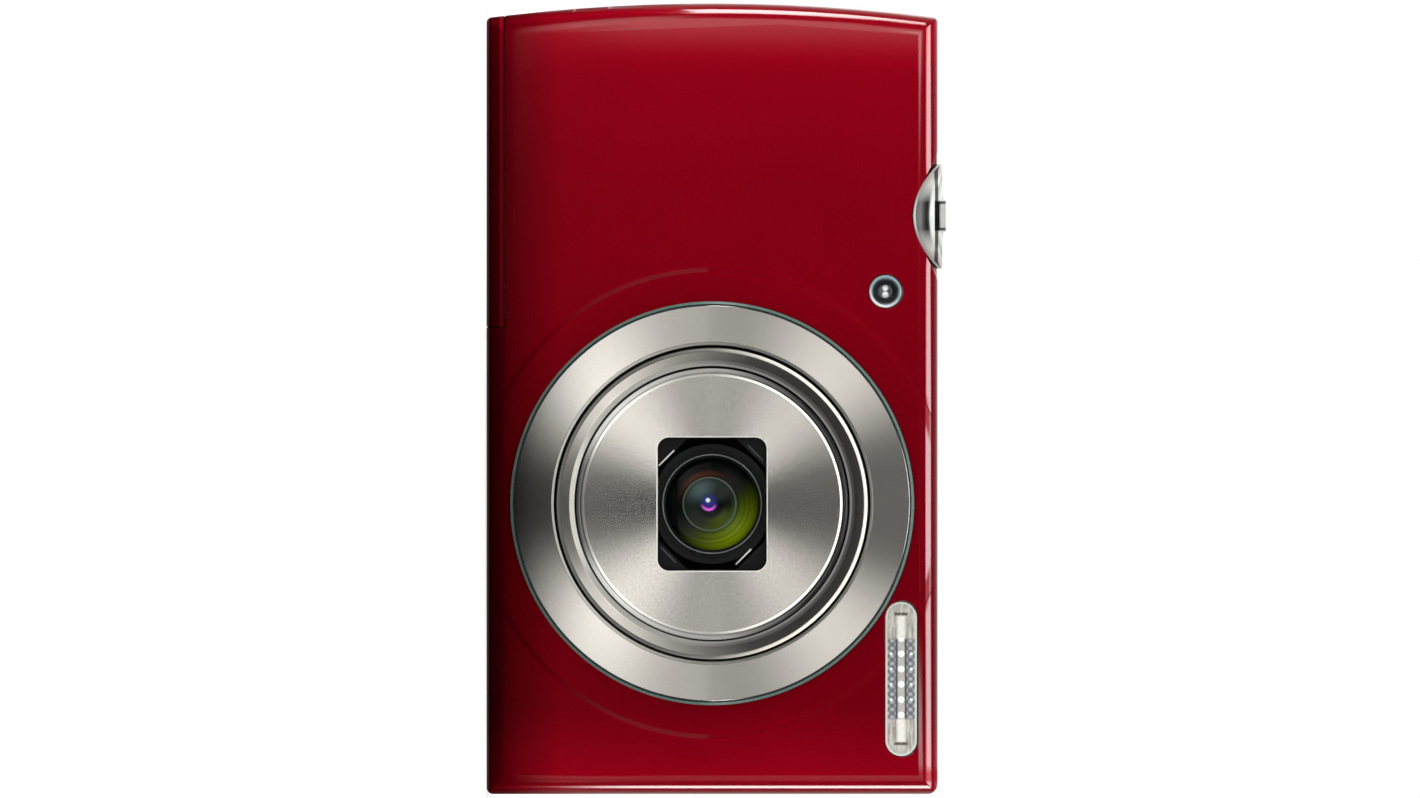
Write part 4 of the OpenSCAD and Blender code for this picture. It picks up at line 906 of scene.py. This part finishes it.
def pad_marks(tree):
    """Four short dark marks, one toward each side of the pad."""
    reach, flat, _ = flat_distance(tree, middle_of("direction_pad"))
    mark_r = radius_of("direction_pad") - mark_from_rim
    ring = band_mask(tree, reach, mark_r - mark_length, mark_r, 0.08)
    near = [toward_mask(tree, flat, side, 0.02) for side in ((1, 0), (-1, 0), (0, 1), (0, -1))]
    return [((ring, spread(tree, mask, 0, 1, 0, 0.3)), (0.06, 0.06, 0.06)) for mask in near]


screen_gloss = screen_pattern("screen_gloss", "screen_window")
pad_plating = plated_metal("pad_plating", *satin_plating, pad_marks)
print("finishes in all:", len(bpy.data.materials))

# %% [markdown]
# ## Helpers for pieces
# Most pieces start as a copy of their solid: its loose triangles are merged, flat regions become one
# face again, and the sharp edges get the small round that every moulded or machined edge has.
# Some round pieces are turned instead: a profile of a few points is spun about the lens axis, which
# gives smoother walls than the solid's triangles. Weighted normals keep flats flat in smooth shading.

# %% Helpers for pieces
fine_edge, cover_edge, key_edge = 0.05, 0.07, 0.08
leaf_edge, hood_edge, pane_edge = 0.03, 0.08, 0.12
ring_edge, barrel_edge, chamfer_edge = 0.06, 0.04, 0.04
body_of_node = {name: thing["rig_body"] for name, thing in nodes.items()}


def finish_shape(name, shape, finish, body, stands_for=(), sharp_angle=40):
    """Turns a bmesh into a piece that shades smoothly and rides on its body."""
    for face in shape.faces:
        face.smooth = True
    for edge in shape.edges:
        edge.smooth = not (edge.is_manifold and edge.calc_face_angle() > math.radians(sharp_angle))
    piece = mesh_object(name, shape, finish)
    even = piece.modifiers.new("even_shading", "WEIGHTED_NORMAL")
    even.keep_sharp = True
    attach(piece, body)
    if stands_for:
        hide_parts(*stands_for)
    return piece


def bevel(shape, edges, width, segments, material=-1):
    return bmesh.ops.bevel(shape, geom=edges, offset=width * MM, offset_type="OFFSET", affect="EDGES",
                           segments=segments, profile=0.5, material=material, clamp_overlap=False)


def round_edges(shape, width, segments=2, angle=30):
    edges = [e for e in shape.edges if e.is_manifold and e.calc_face_angle() > math.radians(angle)]
    bevel(shape, edges, width, segments)


def merged_copy(node):
    shape = bmesh.new()
    shape.from_mesh(nodes[node].data)
    bmesh.ops.remove_doubles(shape, verts=shape.verts, dist=0.0005 * MM)
    bmesh.ops.dissolve_limit(shape, angle_limit=math.radians(0.4), verts=shape.verts, edges=shape.edges,
                             use_dissolve_boundaries=False)
    return shape


def softened(node, finish, width, segments=2, sharp_angle=40):
    """A piece made from a solid's merged copy, with its sharp edges rounded."""
    shape = merged_copy(node)
    round_edges(shape, width, segments)
    return finish_shape(node + "_piece", shape, finish, body_of_node[node], [node],
                        sharp_angle)


def turned(name, profile, finish, body, stands_for=(), steps=128, width=0.0):
    """Spins a profile of (radius, y), in millimetres, about the lens axis."""
    shape = bmesh.new()
    points = []
    for radius, y in profile:
        points.append(shape.verts.new([c * MM for c in (lens_axis[0] + radius, y, lens_axis[2])]))
    edges = [shape.edges.new(pair) for pair in zip(points, points[1:])]
    bmesh.ops.spin(shape, geom=points + edges, cent=[c * MM for c in lens_axis], axis=(0, 1, 0),
                   angle=2 * math.pi, steps=steps, use_merge=True)
    bmesh.ops.remove_doubles(shape, verts=shape.verts, dist=0.001 * MM)
    bmesh.ops.recalc_face_normals(shape, faces=shape.faces)
    if width:
        round_edges(shape, width, segments=3, angle=20)
    return finish_shape(name, shape, finish, body, stands_for)


def from_lens_axis(point):
    """Radius round the lens axis, in millimetres."""
    return math.hypot(point.x / MM - lens_axis[0], point.z / MM - lens_axis[2])


def second_finish(piece, finish, low_r, high_r, low_y=-math.inf, high_y=math.inf):
    """Gives the faces between two radii round the lens axis, in millimetres, another finish."""
    piece.data.materials.append(finish)
    index = len(piece.data.materials) - 1
    for face in piece.data.polygons:
        if low_r < from_lens_axis(face.center) < high_r and low_y < face.center.y / MM < high_y:
            face.material_index = index


print("helpers for pieces are ready; bodies:", len(set(body_of_node.values())))

# %% [markdown]
# ## Covers, door and flap
# The covers, the battery door and the terminal flap are red. Their parting lines are thin dark gaps,
# which only read as gaps when the edges beside them are slightly rounded.

# %% Dress the covers
front_piece = softened("front_cover", paint_red, cover_edge, sharp_angle=14)
rear_piece = softened("rear_cover", plastic_red, cover_edge)
door_piece = softened("battery_door", door_red, fine_edge)
flap_piece = softened("terminal_cover", paint_red, fine_edge)
print("covers:", [len(o.data.polygons) for o in (front_piece, rear_piece, door_piece, flap_piece)])

# %% [markdown]
# ## Ring and barrels
# These are turned parts, so the ring and the outer barrel are each spun from a profile. The ring's face
# is a shallow cone with a fine groove before its outer rim. The outer barrel's mouth slopes in to a lip
# that shades the gap. Painted reflection and shade on a lip or a rim is given by radius and depth.

# %% Turn the ring
ring_low, ring_high = low_high("lens_bezel")
ring_r = radius_of("lens_bezel")
ring_y, ring_back = ring_low[1], ring_high[1]
bore_r = 19.02
spigot_r = 19.77
ring_profile = [(bore_r, ring_back), (bore_r, ring_y + 0.3), (bore_r + 0.35, ring_y),
                (ring_r - 0.55, ring_y + 1.08), (ring_r - 0.44, ring_y + 1.3), (ring_r - 0.33, ring_y + 1.1),
                (ring_r, ring_y + 1.5), (ring_r, cover_y), (spigot_r, cover_y), (spigot_r, ring_back),
                (bore_r, ring_back)]
ring_piece = turned("lens_ring", ring_profile, ring_metal, "camera_body", ["lens_bezel"],
                    steps=256, width=ring_edge)
# The ring's outer rim carries a teal painted reflection, its groove painted shade and the bore's edge a
# painted highlight.
second_finish(ring_piece, rim_teal_reflection, ring_r - 0.31, ring_r - 0.02, ring_y, ring_y + 1.6)
second_finish(ring_piece, dim_shade, ring_r - 0.56, ring_r - 0.31, ring_y + 1.09, ring_y + 1.6)
second_finish(ring_piece, lit_below, bore_r + 0.03, bore_r + 0.3, ring_y, ring_y + 0.4)
print("ring radius:", round(ring_r, 2), "front at y =", round(ring_y, 2))

# %% Turn the outer barrel
barrel_low, barrel_high = low_high("barrel_1")
barrel_y, barrel_back = barrel_low[1], barrel_high[1]
tube_r = 18.72
mouth_r = 17.3
lip_r = 16.5
lip_y = barrel_y + 1.3
barrel_profile = [(mouth_r, barrel_back), (mouth_r, lip_y + 0.8), (lip_r, lip_y + 0.6), (lip_r, lip_y),
                  (lip_r + 0.28, lip_y), (lip_r + 0.62, lip_y), (lip_r + 0.62, lip_y + 0.18),
                  (mouth_r, lip_y + 0.18), (mouth_r, lip_y - 0.2), (tube_r - 0.52, barrel_y + 0.1),
                  (tube_r - 0.42, barrel_y), (tube_r - 0.12, barrel_y), (tube_r, barrel_y + 0.16),
                  (tube_r, barrel_back), (mouth_r, barrel_back)]
barrel_piece = turned("outer_barrel", barrel_profile, mouth_reflection_metal, "outer_barrel",
                      ["barrel_1"], steps=256, width=barrel_edge)
# The mouth's lips carry painted reflection and shade, and a black strip on its outer edge is painted shade
# for the gap to the ring.
second_finish(barrel_piece, lit_above, tube_r - 0.54, tube_r - 0.12, barrel_y - 1, barrel_y + 0.2)
second_finish(barrel_piece, hood_black, tube_r - 0.12, tube_r + 0.01, barrel_y - 1, barrel_y + 0.2)
second_finish(barrel_piece, lit_base, lip_r, lip_r + 0.28, lip_y - 0.1, lip_y + 0.15)
second_finish(barrel_piece, lit_left, lip_r + 0.28, lip_r + 0.63, lip_y - 0.1, lip_y + 0.15)
second_finish(barrel_piece, barrel_metal, tube_r - 0.02, tube_r + 0.28, barrel_y + 0.17)
print("mouth of the outer barrel at y =", round(barrel_y, 2))

# %% Inner barrel, hood and leaves
softened("guide_tube", black_plastic, fine_edge)
inner_piece = softened("barrel_2", barrel_metal, fine_edge)
inner_y = low_high("barrel_2")[0][1]
inner_rim = (15.6, 16.5)
second_finish(inner_piece, rim_shade, *inner_rim, inner_y - 1, inner_y + 0.5)
softened("lens_hood", hood_black, hood_edge)
for leaf in ("leaf_upper_inner", "leaf_upper_outer", "leaf_lower_inner", "leaf_lower_outer"):
    softened(leaf, leaf_black, leaf_edge)
print("inner barrel, hood and leaves are dressed")

# %% [markdown]
# ## Lens face and front glass
# The face's narrow edge round its window carries a painted highlight, and its outer lip painted reflection
# and shade. Short chamfers lie on the corners of the hood's mouth: two carry a painted highlight and two
# painted shade. The front glass is a shallow dome, held by a turned retainer with a thin grey rim.

# %% Lens face
face_y = low_high("lens_face")[0][1]
face_r = radius_of("lens_face")
window_reach = 11
lip_width = 0.3
highlight_width, lip_round = 0.14, 0.15


def front_edges(shape, low_r, high_r):
    """The edges of the face's front plane whose ends lie between two radii."""
    chosen = []
    for edge in shape.edges:
        on_front = all(abs(v.co.y / MM - face_y) < 0.01 for v in edge.verts)
        if on_front and all(low_r < from_lens_axis(v.co) < high_r for v in edge.verts):
            chosen.append(edge)
    return chosen


shape = merged_copy("lens_face")
# The window's edge takes the second finish slot, a painted highlight.
window_highlight = bevel(shape, front_edges(shape, 0, window_reach), highlight_width, 3, material=1)
bevel(shape, front_edges(shape, face_r - lip_width, math.inf), lip_round, 2)
face_piece = finish_shape("lens_face_piece", shape, face_metal, "inner_barrel", ["lens_face"])
face_piece.data.materials.append(painted_highlight)
# The face's outer lip carries painted reflection and shade.
second_finish(face_piece, face_lip_reflection, face_r - lip_width, face_r - 0.01)
print("face radius:", round(face_r, 2), "window edge faces:", len(window_highlight["faces"]))

# %% Chamfers of the hood's mouth
chamfer_size = (2.6, 0.12, 0.18)
hood_y = low_high("lens_hood")[0][1]
# Chamfers a and b carry a painted highlight, c and d painted shade.
chamfers = [
    ("a", -5.5, -5.45, 45, painted_highlight), ("b", 6.3, 3.75, 45, painted_highlight),
    ("c", 6.1, -5.2, -45, dim_shade), ("d", -6.1, 5.2, -45, dim_shade),
]
for letter, x, z, slant, finish in chamfers:
    shape = bmesh.new()
    middle = (lens_axis[0] + x, hood_y, lens_axis[2] + z)
    place = Matrix.Translation([c * MM for c in middle]) @ Matrix.Rotation(math.radians(slant), 4, "Y")
    grow = Matrix.Diagonal([*[c * MM for c in chamfer_size], 1])
    bmesh.ops.create_cube(shape, size=1, matrix=place @ grow)
    round_edges(shape, chamfer_edge)
    finish_shape("mouth_chamfer_" + letter, shape, finish, "inner_barrel")
print("chamfers:", len(chamfers))

# %% Front glass, its rim and its retainer
glass_low, glass_high = low_high("front_lens")
glass_y, glass_back = glass_low[1], glass_high[1]
glass_r = radius_of("front_lens")
dome_r = 15
dome_steps = 12
rim_y = low_high("lens_retainer")[0][1]
rim_r = 5.9
seat_r = glass_r + 0.05
retainer_back = rim_y + 0.65
dome_angle = math.asin(glass_r / dome_r)
dome = [(dome_r * math.sin(a), glass_y + dome_r * (1 - math.cos(a)))
        for a in [i / dome_steps * dome_angle for i in range(dome_steps + 1)]]
glass_profile = dome + [(glass_r, glass_back), (0, glass_back)]
turned("front_glass", glass_profile, lens_glass, "inner_barrel", ["front_lens"])
rim_profile = [(rim_r - 0.08, rim_y + 0.5), (rim_r - 0.06, rim_y + 0.05), (rim_r, rim_y),
               (rim_r + 0.06, rim_y + 0.05), (rim_r + 0.08, rim_y + 0.5)]
turned("glass_rim", rim_profile, rim_grey, "inner_barrel")
retainer_profile = [(seat_r, retainer_back), (seat_r, rim_y), (glass_r - 0.15, rim_y),
                    (glass_r - 0.25, rim_y + 0.15), (rim_r + 0.06, rim_y + 0.15), (rim_r - 0.1, rim_y + 0.3),
                    (rim_r - 0.35, rim_y + 0.5), (rim_r - 0.4, retainer_back), (seat_r, retainer_back)]
turned("glass_retainer", retainer_profile, hood_black, "inner_barrel", ["lens_retainer"])
softened("rear_lens_group", black_plastic, fine_edge)
softened("focus_lens", black_plastic, fine_edge)
print("front glass radius:", round(glass_r, 2))

# %% [markdown]
# ## Top controls, lamp and flash
# The lever is a drawn, plated bowl with painted reflections, the shutter button a plated cap and the power
# button a satin one. The focus lamp and the flash window are clear mouldings whose patterns are painted on
# their fronts: their small prisms, finer than the solids show, and painted highlights and glints on them.

# %% Dress the top controls, the lamp and the flash
for node, finish in (("zoom_lever", lever_painted_chrome), ("shutter_button", chrome), ("power_button", key_plating),
                     ("focus_lamp_rim", lamp_clear), ("focus_lamp_lens", lamp_clear),
                     ("flash_window", flash_clear), ("flash_reflector", flash_mirror)):
    softened(node, finish, fine_edge)
print("top controls, lamp and flash are dressed")

# %% [markdown]
# ## Rear
# The keys are plated mouldings with well rounded edges, so that a thumb slides over them.

# %% Dress the rear
softened("screen_window", screen_gloss, pane_edge, 3)
softened("direction_pad", pad_plating, key_edge)
keys = ["set_button", "movie_button", "auto_button", "playback_button", "menu_button"]
for node in keys:
    softened(node, key_plating, key_edge)
print("rear keys:", len(keys) + 1)

# %% [markdown]
# ## Inner pieces
# These pieces sit inside or are small, so little of them shows. They keep their own solids, whose
# edges are fine enough for that, and each gets the finish of its family.

# %% Give the inner pieces a finish
inner = [
    (plain_steel, ["main_frame", "case_screws", "sensor_plate", "door_pin", "strap_bar", "zoom_motor",
                   "terminal_socket", "microphone"]),
    (black_plastic, ["lens_housing", "drive_ring", "speaker", "release_switch"]),
    (board_green, ["key_board", "main_board", "power_switch"]),
    (holder_grey, ["battery_box"]), (battery_grey, ["battery"]), (card_blue, ["memory_card"]),
    (lock_orange, ["battery_lock"]), (socket_brass, ["tripod_socket"]), (screen_dark, ["screen_panel"]),
    (sensor_blue, ["image_sensor"]), (sleeve_blue, ["flash_capacitor"]), (tube_clear, ["flash_tube"]),
]
for finish, names in inner:
    for name in names:
        nodes[name].data.materials.clear()
        nodes[name].data.materials.append(finish)
print("inner pieces:", sum(len(names) for _, names in inner))
